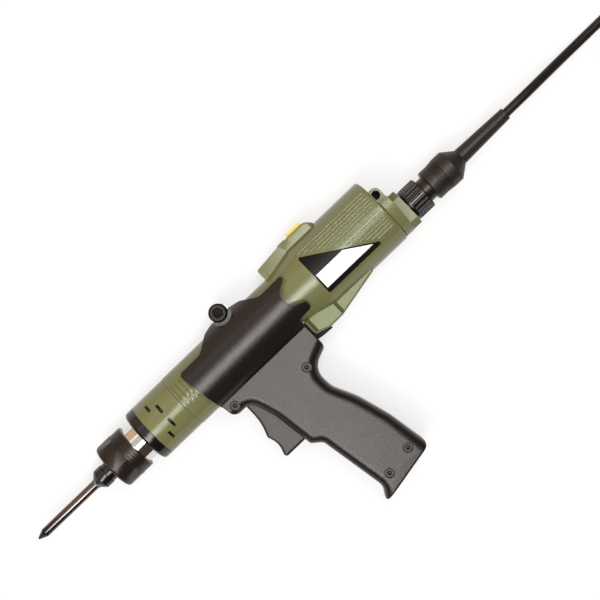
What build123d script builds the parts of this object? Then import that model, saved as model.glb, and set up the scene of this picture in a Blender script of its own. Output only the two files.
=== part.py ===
from build123d import *
from math import acos, cos, pi, radians, sin, sqrt, tan
import os

# Sizes in millimetres. Stations run along the tool's axis from the front face of the front ring, minus
# towards the bit and plus towards the cord. Heights run from the axis, minus towards the grip.

# Clearances
free_gap = 0.3  # pieces that move past each other in the open
running = 0.03  # radial, shafts and pins that turn in a bore
sliding = 0.2  # radial, sleeves and washers that slide
seat_gap = 0.1  # pieces that are pushed together by hand

# Bit and chuck
bit_reach = 57.0  # from the chuck sleeve's front to the tip
bit_radius = 3.3
bit_taper = 6.5
bit_tip_radius = 0.6
bit_flute_depth = 1.1
bit_hex = 6.35  # across the flats
bit_neck = 2.5  # hexagon that shows in front of the sleeve
bit_shank = 20.0  # hexagon inside the spindle
bit_groove_radius = 2.2
chuck_length = 14.5
chuck_radius = 7.5
chuck_back_radius = 7.0
chuck_nose_radius = 3.9
chuck_cone = 2.5
chuck_in_nut = 1.0  # how far the sleeve reaches into the nut at rest
chuck_bore_depth = 8.0
chuck_spring_wire = 0.9
chuck_spring_turns = 4
ball_radius = 1.3

# Spindle and its bearings
spindle_head_radius = 5.0
spindle_collar_radius = 6.2
spindle_collar_width = 1.5
spindle_radius = 4.0
bearing_outer_radius = 8.0
bearing_width = 5.0

# Torque nut and clutch
nut_gap = 8.5  # bright sleeve that shows behind the nut
nut_length = 22.5
nut_radius = 17.5
nut_back_radius = 17.1
nut_wall = 4.5
nut_hole_radius = 8.2
nut_hub_length = 5.0
nut_grip_length = 14.0
nut_flats = 12
nut_flat_turn = 8.5  # degrees
nut_corner = 3.0
nut_ribs = 3
sleeve_radius = 14.5
sleeve_bore = 12.6
sleeve_front = -19.0
sleeve_flange_width = 1.5
clutch_wire = 2.2
clutch_turns = 5
clutch_washer_width = 1.8
thrust_washer_width = 2.0
clutch_pin_radius = 1.0
clutch_pin_count = 6
cover_tube_wall = 1.2

# Front ring and nose housing
ring_length = 7.5
ring_wall = 2.0
nose_length = 28.5
nose_step = 0.3  # how far the nose lies inside the housing's surface
slot_width = 2.1
slot_arc = 21.5  # degrees
spigot_length = 4.0
spigot_wall = 1.1

# Gears, one planetary stage
gear_module = 0.5
pressure_angle = 20.0
sun_teeth = 12
planet_teeth = 15
planet_count = 3
tooth_backlash = 0.08
ring_gear_length = 11.0
planet_length = 7.0
carrier_width = 2.0
planet_pin_radius = 1.5

# Motor
motor_can_gap = 1.4  # from the housing's wall
motor_can_wall = 1.2
motor_can_length = 76.0
motor_plate_width = 3.5
shaft_radius = 2.0
motor_bearing_radius = 5.0
motor_bearing_width = 4.0
magnet_thickness = 2.4
magnet_length = 45.0
air_gap = 0.4
core_length = 40.0
winding_overhang = 7.0
commutator_radius = 6.0
commutator_length = 8.0
brush_width = 5.0
brush_height = 4.0
brush_holder_length = 14.0

# Housing
wall = 2.4
barrel_radius = 20.8
barrel_length = 101.0
cone_length = 23.0
rear_radius = 26.0
rear_length = 66.5
rear_rounding = 2.0
housing_screw_radius = 1.45
housing_head_radius = 2.8
housing_head_height = 2.0
post_radius = 3.2
rib_pitch = 2.3
rib_gap = 0.8
rib_depth = 0.9
groove_width = 1.4
groove_depth = 0.9
rib_count = 14

# Switch block, slider, switches and board
block_length = 51.0
block_half = 8.0
block_rise = 5.3  # above the housing's back part
block_front_rise = 3.0
block_front_half = 5.4  # the sides curve inwards from the slider to the block's front
block_corner = 4.6  # rounding of the corners at the block's back
block_rounding = 1.2
mark_pad_rise = 0.6
block_wall = 2.0
slider_length = 13.0
slider_half = 3.0
slider_rise = 8.0
slider_travel = 2.0
slider_setback = 31.0  # from the block's front to the slider's
board_height = 4.0
board_thickness = 1.6
board_side = 1.9  # from the housing's wall to the board's edge
board_length = 74.0

# Start lever
lever_length = 59.9
lever_rounding = 1.4
lever_groove_width = 2.5
lever_groove_depth = 2.7
lever_half = 9.5
lever_pin_radius = 1.2
lever_lift = 3.4  # room above the lever's front

# Rear cover, hanging ear and connector seat
cover_depth = 7.0
cover_top = 4.6
ear_half = 9.0
ear_height = 15.3
ear_hole_radius = 2.9
ear_hole_height = 10.2
ear_web = 3.0  # left between the two blind holes
seat_depth = 6.5
seat_size = 28.6
seat_chamfer = 5.0

# Supply connector
plug_height = -11.0
socket_radius = 9.4
socket_wall = 2.0
coupling_radius = 12.2
coupling_length = 14.3
coupling_ribs = 22
coupling_rib_radius = 0.95
plug_radius = 8.75
boot_length = 73.0

# Grip
grip_half = 15.0
front_rounding = 6.8
back_rounding = 8.0
base_rounding = 1.6
end_rounding = 1.0
grip_wall = 3.0
saddle_wall = 5.2
clamp_gap = 1.0  # half of the gap that the clamp bolt closes
bolt_radius = 4.0
bolt_head_radius = 6.5
bolt_head_height = 8.0
bolt_seat = 12.0
bolt_socket_radius = 3.4
boss_wall = 2.1
seat_margin = 2.9  # flat that shows round the bolt's head
nut_across_flats = 13.0
nut_thickness = 6.5
grip_screw_radius = 1.5
grip_screw_head = 2.8
grip_screw_socket = 1.4
grip_screw_recess = 3.5
grip_recess_depth = 3.0

# Trigger and link
trigger_half = 6.5
trigger_rounding = 2.0
trigger_pin_radius = 1.5
trigger_spring_wire = 0.8
trigger_spring_radius = 3.0
trigger_spring_turns = 6
link_half = 4.5

# Cord, coil and far plug
cord_diameter = 6.5
coil_turns = 6.5
coil_inner_radius = 29.0
coil_pitch = 7.1
coil_lift = 1.35
coil_tail = 13.0  # straight end that leads to the far plug
tie_width = 12.0
tie_thickness = 1.0
far_boot_length = 30.0
far_body_length = 30.0

# Stations worked out from the sizes
nut_back = -nut_gap
nut_front = nut_back - nut_length
chuck_back = nut_front + chuck_in_nut
chuck_front = chuck_back - chuck_length
bit_tip = chuck_front - bit_reach
ball_station = chuck_front + 4.2
bit_back = chuck_front + bit_shank
nose_front = ring_length
nose_back = nose_front + nose_length
inner_radius = barrel_radius - wall
nose_radius = barrel_radius - nose_step
sleeve_flange_radius = inner_radius - 1.2
motor_can_radius = inner_radius - motor_can_gap
can_inner = motor_can_radius - motor_can_wall
core_radius = can_inner - magnet_thickness - air_gap
board_half = inner_radius - board_side
saddle_radius = barrel_radius + saddle_wall
block_height = rear_radius + block_rise
block_front_height = rear_radius + block_front_rise
slider_height = rear_radius + slider_rise
sleeve_flange_back = ring_wall + sleeve_flange_width
cover_back = ring_length
ring_gear_front = cover_back + 0.4
ring_gear_back = ring_gear_front + ring_gear_length
carrier_front = ring_gear_front + 0.2
planet_front = carrier_front + carrier_width + 0.4
planet_back = planet_front + planet_length
motor_plate_front = ring_gear_back + 0.8
motor_front = motor_plate_front + motor_plate_width
motor_back = motor_front + motor_can_length
cone_front = nose_back + barrel_length
cone_back = cone_front + cone_length
body_back = cone_back + rear_length
block_front = cone_front - 2.0
lever_front = cone_front - 3.4
grip_zero = cone_front - 137.0  # the grip's own zero, level with the front ring's face
seat_front = body_back + cover_depth
seat_back = seat_front + seat_depth
coupling_front = seat_back + 1.2
coupling_back = coupling_front + coupling_length
boot_front = coupling_back + 5.5
boot_back = boot_front + boot_length
boss_radius = bolt_radius + sliding + boss_wall
seat_radius = bolt_head_radius + seat_margin

# The frame: the origin lies under the middle of the tool, on the bench that it lies on
datum_x = -(bit_tip + boot_back) / 2
axis_y = 56.0  # midway between the grip's toe and the slider
axis_z = max(rear_radius, saddle_radius)
lengthwise = Plane(origin=(datum_x, axis_y, axis_z), x_dir=(1, 0, 0), z_dir=(0, 0, 1))


def across(x, height=0.0):
    """Plane square to the axis at a station, with its own x upwards along +Y."""
    return Plane(origin=(datum_x + x, axis_y + height, axis_z), x_dir=(0, 1, 0), z_dir=(1, 0, 0))


def axis_at(height=0.0):
    """Axis along the tool at a height."""
    return Axis((datum_x, axis_y + height, axis_z), (1, 0, 0))


def turned(outline, radii=None, height=0.0, arc=360.0, mode=Mode.ADD):
    """Turns a closed outline of stations and radii round the axis at a height."""
    plane = Plane(origin=(datum_x, axis_y + height, axis_z), x_dir=(1, 0, 0), z_dir=(0, 0, 1))
    with BuildSketch(plane) as section:
        with BuildLine():
            if radii:
                FilletPolyline(*outline, radius=radii, close=True)
            else:
                Polyline(*outline, close=True)
        make_face()
    revolve(section.sketch, axis=axis_at(height), revolution_arc=arc, mode=mode)


def tube(front, back, outer, inner=0.0, height=0.0, mode=Mode.ADD):
    """Plain tube or bar between two stations."""
    turned([(front, inner), (back, inner), (back, outer), (front, outer)], height=height, mode=mode)


def slab(outline, low, high, radii=None, mode=Mode.ADD):
    """Side outline of stations and heights, made solid between two distances from the middle plane."""
    with BuildSketch(lengthwise.offset(low)) as section:
        with BuildLine():
            if radii:
                FilletPolyline(*outline, radius=radii, close=True)
            else:
                Polyline(*outline, close=True)
        make_face()
    extrude(section.sketch, amount=high - low, mode=mode)


def box(front, back, bottom, top, low, high, mode=Mode.ADD):
    """Block between stations, heights and distances from the middle plane."""
    slab([(front, bottom), (back, bottom), (back, top), (front, top)], low, high, mode=mode)


def cross_pin(x, y, radius, low, high, mode=Mode.ADD):
    """Round bar or hole across the tool."""
    with BuildSketch(lengthwise.offset(low)) as section:
        with Locations((x, y)):
            Circle(radius)
    extrude(section.sketch, amount=high - low, mode=mode)


def ring_cut(front, back, outer, inner, start, arc):
    """Cuts part of a ring, from an angle above the side direction downwards through an arc, in degrees."""
    rise = sin(radians(start))
    reach = cos(radians(start))
    plane = Plane(origin=(datum_x, axis_y, axis_z), x_dir=(1, 0, 0), z_dir=(0, -reach, rise))
    with BuildSketch(plane) as section:
        with BuildLine():
            Polyline((front, inner), (back, inner), (back, outer), (front, outer), close=True)
        make_face()
    revolve(section.sketch, axis=axis_at(), revolution_arc=arc, mode=Mode.SUBTRACT)


def gear_points(teeth, addendum, dedendum, thickness):
    """Outline of a spur gear with involute flanks, one tooth centred on the sketch's own x."""
    pitch_radius = gear_module * teeth / 2
    base_radius = pitch_radius * cos(radians(pressure_angle))
    root_radius = pitch_radius - dedendum
    flank = [pitch_radius, pitch_radius + addendum]
    if root_radius < base_radius:
        flank = [root_radius, base_radius] + flank
    else:
        flank = [root_radius] + flank

    def half_angle(radius):
        angle = acos(min(1.0, base_radius / radius))
        pitch_roll = tan(radians(pressure_angle)) - radians(pressure_angle)
        return thickness / (2 * pitch_radius) + pitch_roll - (tan(angle) - angle)

    points = []
    for tooth in range(teeth):
        centre = 2 * pi * tooth / teeth
        for radius in flank:
            turn = centre - half_angle(radius)
            points.append((radius * cos(turn), radius * sin(turn)))
        for radius in reversed(flank):
            turn = centre + half_angle(radius)
            points.append((radius * cos(turn), radius * sin(turn)))
    return points


def gear_sketch(plane, points):
    """Sketch of a gear outline on a plane."""
    with BuildSketch(plane) as section:
        with BuildLine():
            Polyline(*points, close=True)
        make_face()
    return section.sketch


def smooth_run(points, headings):
    """Joins points by pairs of arcs that share their tangents, a biarc from each point to the next."""
    for start, end, leave, arrive in zip(points, points[1:], headings, headings[1:]):
        span = end - start
        total = leave + arrive
        bend = 2 * (1 - leave.dot(arrive))
        along = span.dot(total)
        reach = (sqrt(along * along + bend * span.dot(span)) - along) / bend
        knee = (start + leave * reach + end - arrive * reach) / 2
        middle = (end - arrive * reach) - (start + leave * reach)
        TangentArc(start, knee, tangent=leave)
        TangentArc(knee, end, tangent=middle.normalized())


def helix_points(start, along, side, radius, length, turns):
    """Points and headings on a helix, four a turn, from a start point on its centre line."""
    across_side = along.cross(side)
    count = int(round(turns * 4))
    points = []
    headings = []
    for step in range(count + 1):
        turn = 2 * pi * turns * step / count
        outwards = side * cos(turn) + across_side * sin(turn)
        onwards = across_side * cos(turn) - side * sin(turn)
        points.append(start + along * (length * step / count) + outwards * radius)
        headings.append((onwards * (2 * pi * turns * radius) + along * length).normalized())
    return points, headings


def wound_wire(points, headings, radius):
    """Sweeps a round wire along joined arcs."""
    with BuildLine() as path:
        smooth_run(points, headings)
    with BuildSketch(Plane(origin=points[0], z_dir=headings[0])) as section:
        Circle(radius)
    sweep(section.sketch, path=path.line)


def place(x, y, z=0.0):
    """Point in the part's frame from a station, a height and a distance from the middle plane."""
    return Vector(datum_x + x, axis_y + y, axis_z + z)


# Bit: hexagon shank with a locking groove, round blade, crossed tip
shank_front = chuck_front - bit_neck
blade_end = bit_tip + bit_taper
with BuildPart() as bit:
    with BuildSketch(across(shank_front)):
        RegularPolygon(bit_hex / 2, 6, major_radius=False)
    extrude(amount=bit_back - shank_front)
    turned(
        [
            (bit_tip, 0),
            (bit_tip, bit_tip_radius),
            (blade_end, bit_radius),
            (shank_front, bit_radius),
            (shank_front, 0),
        ]
    )
    groove_half = ball_radius + running + 0.3
    groove_front = ball_station - groove_half
    groove_back = ball_station + groove_half
    tube(groove_front, groove_back, bit_hex, bit_groove_radius, mode=Mode.SUBTRACT)
    with BuildSketch(across(bit_tip - 1)) as flutes:
        with PolarLocations(bit_tip_radius * 0.6 + bit_flute_depth * 1.4, 4, 45):
            Rectangle(bit_flute_depth * 2, bit_flute_depth * 2, rotation=45)
    extrude(flutes.sketch, amount=bit_taper + 1, mode=Mode.SUBTRACT)

# Chuck sleeve: slides back on the spindle's head to free the bit
chuck_shoulder = chuck_back - chuck_bore_depth
chuck_step = chuck_back - 6.0
with BuildPart() as chuck_sleeve:
    turned(
        [
            (chuck_front, spindle_head_radius + running),
            (chuck_front, spindle_head_radius + 0.3),
            (chuck_front + chuck_cone, chuck_radius),
            (chuck_step, chuck_radius),
            (chuck_step, chuck_back_radius),
            (chuck_back, chuck_back_radius),
            (chuck_back, spindle_collar_radius + seat_gap),
            (chuck_shoulder, spindle_collar_radius + seat_gap),
            (chuck_shoulder, spindle_head_radius + running),
        ],
        radii=[0, 0, 0.8, 0.4, 0, 0, 0, 0, 0],
    )

# Spindle: head with the bit socket and ball holes, collar for the chuck spring, journal to the carrier
collar_front = chuck_back + 0.5
head_back = nut_front + nut_wall + nut_hub_length + 1.0
spindle_front = chuck_front - 1.4
with BuildPart() as spindle:
    turned(
        [
            (spindle_front, 0),
            (spindle_front, chuck_nose_radius),
            (chuck_front, spindle_head_radius),
            (collar_front, spindle_head_radius),
            (collar_front, spindle_collar_radius),
            (collar_front + spindle_collar_width, spindle_collar_radius),
            (collar_front + spindle_collar_width, spindle_head_radius),
            (head_back, spindle_head_radius),
            (head_back, spindle_radius),
            (carrier_front + carrier_width, spindle_radius),
            (carrier_front + carrier_width, 0),
        ]
    )
    with BuildSketch(across(spindle_front)) as socket_hex:
        RegularPolygon(bit_hex / 2 + running, 6, major_radius=False)
    extrude(socket_hex.sketch, amount=bit_back - spindle_front, mode=Mode.SUBTRACT)
    with BuildSketch(Plane(origin=place(ball_station, 0), x_dir=(1, 0, 0), z_dir=(0, 1, 0))) as ball_hole:
        Circle(ball_radius + running)
    extrude(ball_hole.sketch, amount=spindle_head_radius + 1, both=True, mode=Mode.SUBTRACT)

# Balls that lock the bit
ball_height = spindle_head_radius - ball_radius - running
with BuildPart() as chuck_balls:
    with Locations(place(ball_station, ball_height), place(ball_station, -ball_height)):
        Sphere(ball_radius)

# Spring between the sleeve's shoulder and the spindle's collar
chuck_spring_radius = (spindle_head_radius + spindle_collar_radius + seat_gap) / 2
chuck_spring_start = chuck_shoulder + chuck_spring_wire / 2 + 0.05
chuck_spring_length = collar_front - chuck_spring_wire / 2 - 0.05 - chuck_spring_start
with BuildPart() as chuck_spring:
    wound_wire(
        *helix_points(
            place(chuck_spring_start, 0),
            Vector(1, 0, 0),
            Vector(0, 1, 0),
            chuck_spring_radius,
            chuck_spring_length,
            chuck_spring_turns,
        ),
        chuck_spring_wire / 2,
    )

# Gear cover: tube that carries the spindle bearings, and a plate that the clutch pins pass through
cover_tube_radius = bearing_outer_radius + cover_tube_wall
cover_tube_front = sleeve_front - 0.5
clutch_pin_ring = (cover_tube_radius + sleeve_bore) / 2 + 0.2
cover_radius = inner_radius - sliding
with BuildPart() as gear_cover:
    turned(
        [
            (cover_tube_front, bearing_outer_radius),
            (cover_tube_front, cover_tube_radius),
            (sleeve_flange_back, cover_tube_radius),
            (sleeve_flange_back, cover_radius),
            (cover_back, cover_radius),
            (cover_back, bearing_outer_radius),
        ]
    )
    with BuildSketch(across(sleeve_flange_back)) as pin_holes:
        with PolarLocations(clutch_pin_ring, clutch_pin_count):
            Circle(clutch_pin_radius + running)
    extrude(pin_holes.sketch, amount=cover_back - sleeve_flange_back, mode=Mode.SUBTRACT)

# Two bearings that the spindle turns in
with BuildPart() as spindle_bearings:
    for front in (cover_tube_front + 0.5, cover_back - bearing_width):
        tube(front, front + bearing_width, bearing_outer_radius, spindle_radius + running)

# Bright clutch sleeve: the nut turns on it, its flange is held by the front ring
with BuildPart() as clutch_sleeve:
    turned(
        [
            (sleeve_front, sleeve_bore),
            (sleeve_front, sleeve_radius),
            (ring_wall, sleeve_radius),
            (ring_wall, sleeve_flange_radius),
            (sleeve_flange_back, sleeve_flange_radius),
            (sleeve_flange_back, sleeve_bore),
        ],
        radii=[0, 0.8, 0, 0, 0, 0],
    )

# Torque nut: flats for the fingers in front, fine ribs behind
nut_step = nut_front + nut_grip_length
hub_back = nut_front + nut_wall + nut_hub_length
hub_inner = cover_tube_radius + sliding
hub_outer = sleeve_bore - sliding
with BuildPart() as torque_nut:
    turned(
        [
            (nut_front, nut_hole_radius),
            (nut_front, nut_radius),
            (nut_step, nut_radius),
            (nut_step, nut_back_radius),
            (nut_back, nut_back_radius),
            (nut_back, sleeve_radius + running),
            (nut_front + nut_wall, sleeve_radius + running),
            (nut_front + nut_wall, hub_outer),
            (hub_back, hub_outer),
            (hub_back, hub_inner),
            (nut_front + nut_wall, hub_inner),
            (nut_front + nut_wall, nut_hole_radius),
        ],
        radii=[0.6, nut_corner, 0.3, 0, 0.6, 0, 0, 0, 0, 0, 0, 0],
    )
    with BuildSketch(across(nut_front - 1)) as nut_trim:
        Circle(nut_radius + 1)
        RegularPolygon(nut_radius, nut_flats, rotation=nut_flat_turn, mode=Mode.SUBTRACT)
    extrude(nut_trim.sketch, amount=nut_grip_length + 0.6, mode=Mode.SUBTRACT)
    for rib in range(nut_ribs):
        rib_front = nut_step + 1.3 + rib * 2.4
        tube(rib_front, rib_front + 0.7, nut_radius + 1, nut_back_radius - 0.5, mode=Mode.SUBTRACT)

# Washer that the nut pushes against the clutch spring
with BuildPart() as thrust_washer:
    tube(hub_back, hub_back + thrust_washer_width, hub_outer, hub_inner)

# Clutch spring, and the washer that passes its force to the pins
clutch_washer_back = sleeve_flange_back - 0.2
clutch_washer_front = clutch_washer_back - clutch_washer_width
clutch_start = hub_back + thrust_washer_width + clutch_wire / 2 + 0.05
clutch_length = clutch_washer_front - clutch_wire / 2 - 0.05 - clutch_start
with BuildPart() as clutch_spring:
    wound_wire(
        *helix_points(
            place(clutch_start, 0),
            Vector(1, 0, 0),
            Vector(0, 1, 0),
            (cover_tube_radius + sleeve_bore) / 2,
            clutch_length,
            clutch_turns,
        ),
        clutch_wire / 2,
    )
with BuildPart() as clutch_washer:
    tube(clutch_washer_front, clutch_washer_back, hub_outer, hub_inner)
with BuildPart() as clutch_pins:
    with BuildSketch(across(clutch_washer_back)) as pin_ends:
        with PolarLocations(clutch_pin_ring, clutch_pin_count):
            Circle(clutch_pin_radius)
    extrude(pin_ends.sketch, amount=ring_gear_front - clutch_washer_back)

# Front ring: cap that holds the sleeve's flange and the gear cover
with BuildPart() as front_ring:
    turned(
        [
            (0, sleeve_radius + sliding),
            (0, nose_radius),
            (ring_length, nose_radius),
            (ring_length, inner_radius),
            (ring_wall, inner_radius),
            (ring_wall, sleeve_radius + sliding),
        ],
        radii=[0.5, 2.4, 0.3, 0, 0, 0],
    )

# Nose housing: vent slots on both sides, and a spigot inside the housing halves
spigot_outer = inner_radius - seat_gap
with BuildPart() as nose_housing:
    turned(
        [
            (nose_front, inner_radius),
            (nose_front, nose_radius),
            (nose_back, nose_radius),
            (nose_back, spigot_outer),
            (nose_back + spigot_length, spigot_outer),
            (nose_back + spigot_length, spigot_outer - spigot_wall),
            (nose_back - 1.5, spigot_outer - spigot_wall),
            (nose_back - 1.5, inner_radius),
        ],
        radii=[0, 0.3, 0.5, 0, 0, 0, 0, 0],
    )
    slot_places = [(7.9, 51.0), (7.9, -24.5), (14.1, 31.8), (14.1, -5.2)]
    for turn in (0, 180):
        for slot_front, slot_top in slot_places:
            ring_cut(
                nose_front + slot_front,
                nose_front + slot_front + slot_width,
                nose_radius + 1,
                inner_radius - 1,
                slot_top + turn,
                slot_arc,
            )

# Planetary stage
ring_teeth = sun_teeth + 2 * planet_teeth
tooth_thickness = pi * gear_module / 2 - tooth_backlash
space_thickness = pi * gear_module / 2 + tooth_backlash
addendum = 0.9 * gear_module
dedendum = 1.25 * gear_module
planet_ring = gear_module * (sun_teeth + planet_teeth) / 2
with BuildPart() as ring_gear:
    tube(ring_gear_front, ring_gear_back, inner_radius - sliding)
    ring_space = gear_points(ring_teeth, dedendum, 0.7 * gear_module, space_thickness)
    extrude(
        gear_sketch(across(ring_gear_front), ring_space),
        amount=ring_gear_length,
        mode=Mode.SUBTRACT,
    )

planets = []
for index in range(planet_count):
    turn = 2 * pi * index / planet_count
    planet_plane = Plane(
        origin=place(planet_front, planet_ring * cos(turn), planet_ring * sin(turn)),
        x_dir=(0, cos(turn), sin(turn)),
        z_dir=(1, 0, 0),
    )
    with BuildPart() as planet_gear:
        planet_outline = gear_points(planet_teeth, addendum, dedendum, tooth_thickness)
        extrude(gear_sketch(planet_plane, planet_outline), amount=planet_length)
        with BuildSketch(planet_plane) as planet_bore:
            Circle(planet_pin_radius + running)
        extrude(planet_bore.sketch, amount=planet_length, mode=Mode.SUBTRACT)
    planets.append(planet_gear)

carrier_radius = gear_module * ring_teeth / 2 - 0.7 * gear_module - sliding * 2
with BuildPart() as planet_carrier:
    tube(carrier_front, carrier_front + carrier_width, carrier_radius, spindle_radius)
    with BuildSketch(across(carrier_front + carrier_width)) as carrier_pins:
        with PolarLocations(planet_ring, planet_count):
            Circle(planet_pin_radius)
    extrude(carrier_pins.sketch, amount=planet_back + 0.4 - carrier_front - carrier_width)

# Motor plate closes the gear room and carries the front motor bearing
with BuildPart() as motor_plate:
    tube(motor_plate_front, motor_front, inner_radius - seat_gap, motor_bearing_radius)

# Motor can with its front wall, and two curved magnets
with BuildPart() as motor_can:
    turned(
        [
            (motor_front, motor_bearing_radius + 1),
            (motor_front, motor_can_radius),
            (motor_back, motor_can_radius),
            (motor_back, can_inner),
            (motor_front + 2, can_inner),
            (motor_front + 2, motor_bearing_radius + 1),
        ]
    )
core_front = motor_front + 14.0
core_back = core_front + core_length
magnet_front = (core_front + core_back - magnet_length) / 2
with BuildPart() as motor_magnets:
    tube(magnet_front, magnet_front + magnet_length, can_inner, can_inner - magnet_thickness)
    box(
        magnet_front - 1,
        magnet_front + magnet_length + 1,
        -4.0,
        4.0,
        -can_inner - 1,
        can_inner + 1,
        mode=Mode.SUBTRACT,
    )

# Armature: shaft with the sun pinion, core, windings and commutator
commutator_front = core_back + winding_overhang + 1.0
commutator_back = commutator_front + commutator_length
shaft_back = motor_back + 2.0
with BuildPart() as rotor_shaft:
    tube(planet_front, shaft_back, shaft_radius)
    sun_outline = gear_points(sun_teeth, addendum, dedendum, tooth_thickness)
    extrude(gear_sketch(across(planet_front), sun_outline), amount=planet_length)
with BuildPart() as armature_core:
    tube(core_front, core_back, core_radius, shaft_radius)
    with BuildSketch(across(core_front)) as core_slots:
        with PolarLocations(core_radius - 1.5, 12):
            Rectangle(7.0, 1.6)
    extrude(core_slots.sketch, amount=core_length, mode=Mode.SUBTRACT)
with BuildPart() as armature_windings:
    winding_radius = core_radius - 2.5
    for front, corner_radii in (
        (core_front - winding_overhang, [0, 2.5, 0, 0]),
        (core_back, [0, 0, 2.5, 0]),
    ):
        back = front + winding_overhang
        turned(
            [
                (front, shaft_radius),
                (front, winding_radius),
                (back, winding_radius),
                (back, shaft_radius),
            ],
            radii=corner_radii,
        )
with BuildPart() as commutator:
    tube(commutator_front, commutator_back, commutator_radius, shaft_radius)
    with BuildSketch(across(commutator_front)) as bar_gaps:
        with PolarLocations(commutator_radius, 12):
            Rectangle(1.2, 0.4)
    extrude(bar_gaps.sketch, amount=commutator_length, mode=Mode.SUBTRACT)

# Brush holder closes the can, guides the two brushes and carries the rear motor bearing
holder_front = motor_back - brush_holder_length
brush_middle = (commutator_front + commutator_back) / 2
with BuildPart() as brush_holder:
    turned(
        [
            (holder_front, commutator_radius + 1.0),
            (holder_front, can_inner),
            (motor_back, can_inner),
            (motor_back, motor_bearing_radius),
            (motor_back - motor_bearing_width, motor_bearing_radius),
            (motor_back - motor_bearing_width, commutator_radius + 1.0),
        ]
    )
    box(
        brush_middle - brush_width / 2,
        brush_middle + brush_width / 2,
        -can_inner - 1,
        can_inner + 1,
        -brush_height / 2,
        brush_height / 2,
        mode=Mode.SUBTRACT,
    )
brush_top = can_inner - 3.0
with BuildPart() as carbon_brushes:
    for low, high in ((commutator_radius + 0.1, brush_top), (-brush_top, -commutator_radius - 0.1)):
        box(
            brush_middle - brush_width / 2 + 0.05,
            brush_middle + brush_width / 2 - 0.05,
            low,
            high,
            -brush_height / 2 + 0.05,
            brush_height / 2 - 0.05,
        )
with BuildPart() as motor_bearings:
    for front in (motor_front - motor_bearing_width + 0.5, motor_back - motor_bearing_width):
        tube(front, front + motor_bearing_width, motor_bearing_radius, shaft_radius + running)

# Housing: shell with the switch block on top, split in two halves along the middle plane
rear_inner = rear_radius - wall
end_wall = body_back - wall
body_outline = [
    (nose_back, 0),
    (nose_back, barrel_radius),
    (cone_front, barrel_radius),
    (cone_back, rear_radius),
    (body_back, rear_radius),
    (body_back, 0),
]
block_back = block_front + block_length
slider_front = block_front + slider_setback
slider_back = slider_front + slider_length
slider_foot = rear_radius - 6.0
block_slope = 25.0  # from the block's front to where its top is level
block_end = 5.0  # length of the slope at the block's back
block_outline = [
    (block_front, 0),
    (block_back, 0),
    (block_back, block_height - block_end),
    (block_back - block_end, block_height),
    (block_front + block_slope, block_height),
    (block_front, block_front_height),
]
lever_back = lever_front + lever_length
lever_top_front = 7.6 - rear_radius
lever_top_back = 6.4 - rear_radius
pocket_front = lever_front - 0.5
pocket_back = lever_back + 0.5
pocket_half = lever_half + 0.4
pocket_top_front = lever_top_front + lever_lift + free_gap
pocket_top_back = lever_top_back + 0.7
tub_wall = 1.8
tub_outline = [
    (pocket_front - tub_wall, -rear_radius),
    (pocket_back + tub_wall, -rear_radius),
    (pocket_back + tub_wall, pocket_top_back + tub_wall),
    (pocket_front - tub_wall, pocket_top_front + tub_wall),
]
pocket_outline = [
    (pocket_front, -2 * rear_radius),
    (pocket_back, -2 * rear_radius),
    (pocket_back, pocket_top_back),
    (pocket_front, pocket_top_front),
]
lever_pin_x = lever_back - 3.5
lever_pin_y = 4.2 - rear_radius
lever_pin_reach = pocket_half + 1.4
start_pin_x = lever_front + 16.1
start_pin_radius = 1.5
board_front = cone_front + 4.0
board_back = board_front + board_length
post_height = rear_radius - 11.0
post_places = [
    (cone_front + 14.0, post_height),
    (body_back - 13.5, post_height),
    (body_back - 13.5, -post_height),
]
screw_head_depth = -14.0
socket_hole = socket_radius - 0.6
with BuildPart() as body_cavity:
    turned(
        [
            (nose_back - 1, 0),
            (nose_back - 1, inner_radius),
            (cone_front + 1, inner_radius),
            (cone_back + 1, rear_inner),
            (end_wall, rear_inner),
            (end_wall, 0),
        ]
    )
    slab(tub_outline, -pocket_half - tub_wall, pocket_half + tub_wall, mode=Mode.SUBTRACT)
    for post_x, post_y in post_places:
        cross_pin(post_x, post_y, post_radius, -rear_radius, rear_radius, mode=Mode.SUBTRACT)
    for rail_low, rail_high in ((board_half - 1.5, rear_radius), (-rear_radius, 1.5 - board_half)):
        box(
            board_front + 12,
            board_back - 12,
            board_height - 2,
            board_height,
            rail_low,
            rail_high,
            mode=Mode.SUBTRACT,
        )
    for bead in (nose_back + 8, motor_back - 6):
        tube(bead, bead + 4, inner_radius + 1, motor_can_radius + 0.05, mode=Mode.SUBTRACT)
    box(
        block_front + block_wall + 2,
        block_back - block_wall - 0.6,
        10.0,
        block_front_height - block_wall,
        -block_half + block_wall,
        block_half - block_wall,
    )

# Switch block: side outline, cut to a plan whose sides curve and whose back corners are round
with BuildPart() as switch_block:
    slab(block_outline, -block_half, block_half, radii=[0, 0, 5.0, 5.0, 8.0, 1.6])
    side_edges = switch_block.faces().filter_by(Axis.Z).edges()
    fillet(side_edges.filter_by_position(Axis.Y, axis_y + 5, axis_y + 60), block_rounding)
    with BuildSketch(Plane(origin=place(0, 0), x_dir=(1, 0, 0), z_dir=(0, 1, 0))) as block_plan:
        with BuildLine():
            left_corner = (block_front, block_front_half)
            right_corner = (block_front, -block_front_half)
            TangentArc((slider_front, block_half), left_corner, tangent=(-1, 0))
            TangentArc((slider_front, -block_half), right_corner, tangent=(-1, 0))
            Line(left_corner, right_corner)
            FilletPolyline(
                (slider_front, block_half),
                (block_back, block_half),
                (block_back, -block_half),
                (slider_front, -block_half),
                radius=block_corner,
            )
        make_face()
    extrude(block_plan.sketch, amount=2 * rear_radius, mode=Mode.INTERSECT)

rib_start = cone_back + 2.2
rib_end = body_back - 3.0
rib_lean = 1.57  # stations that the ribs' starts move back for each millimetre down
rib_top = 17.6
ring_grooves = [2.0, 5.4, 8.8, 12.2]


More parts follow.
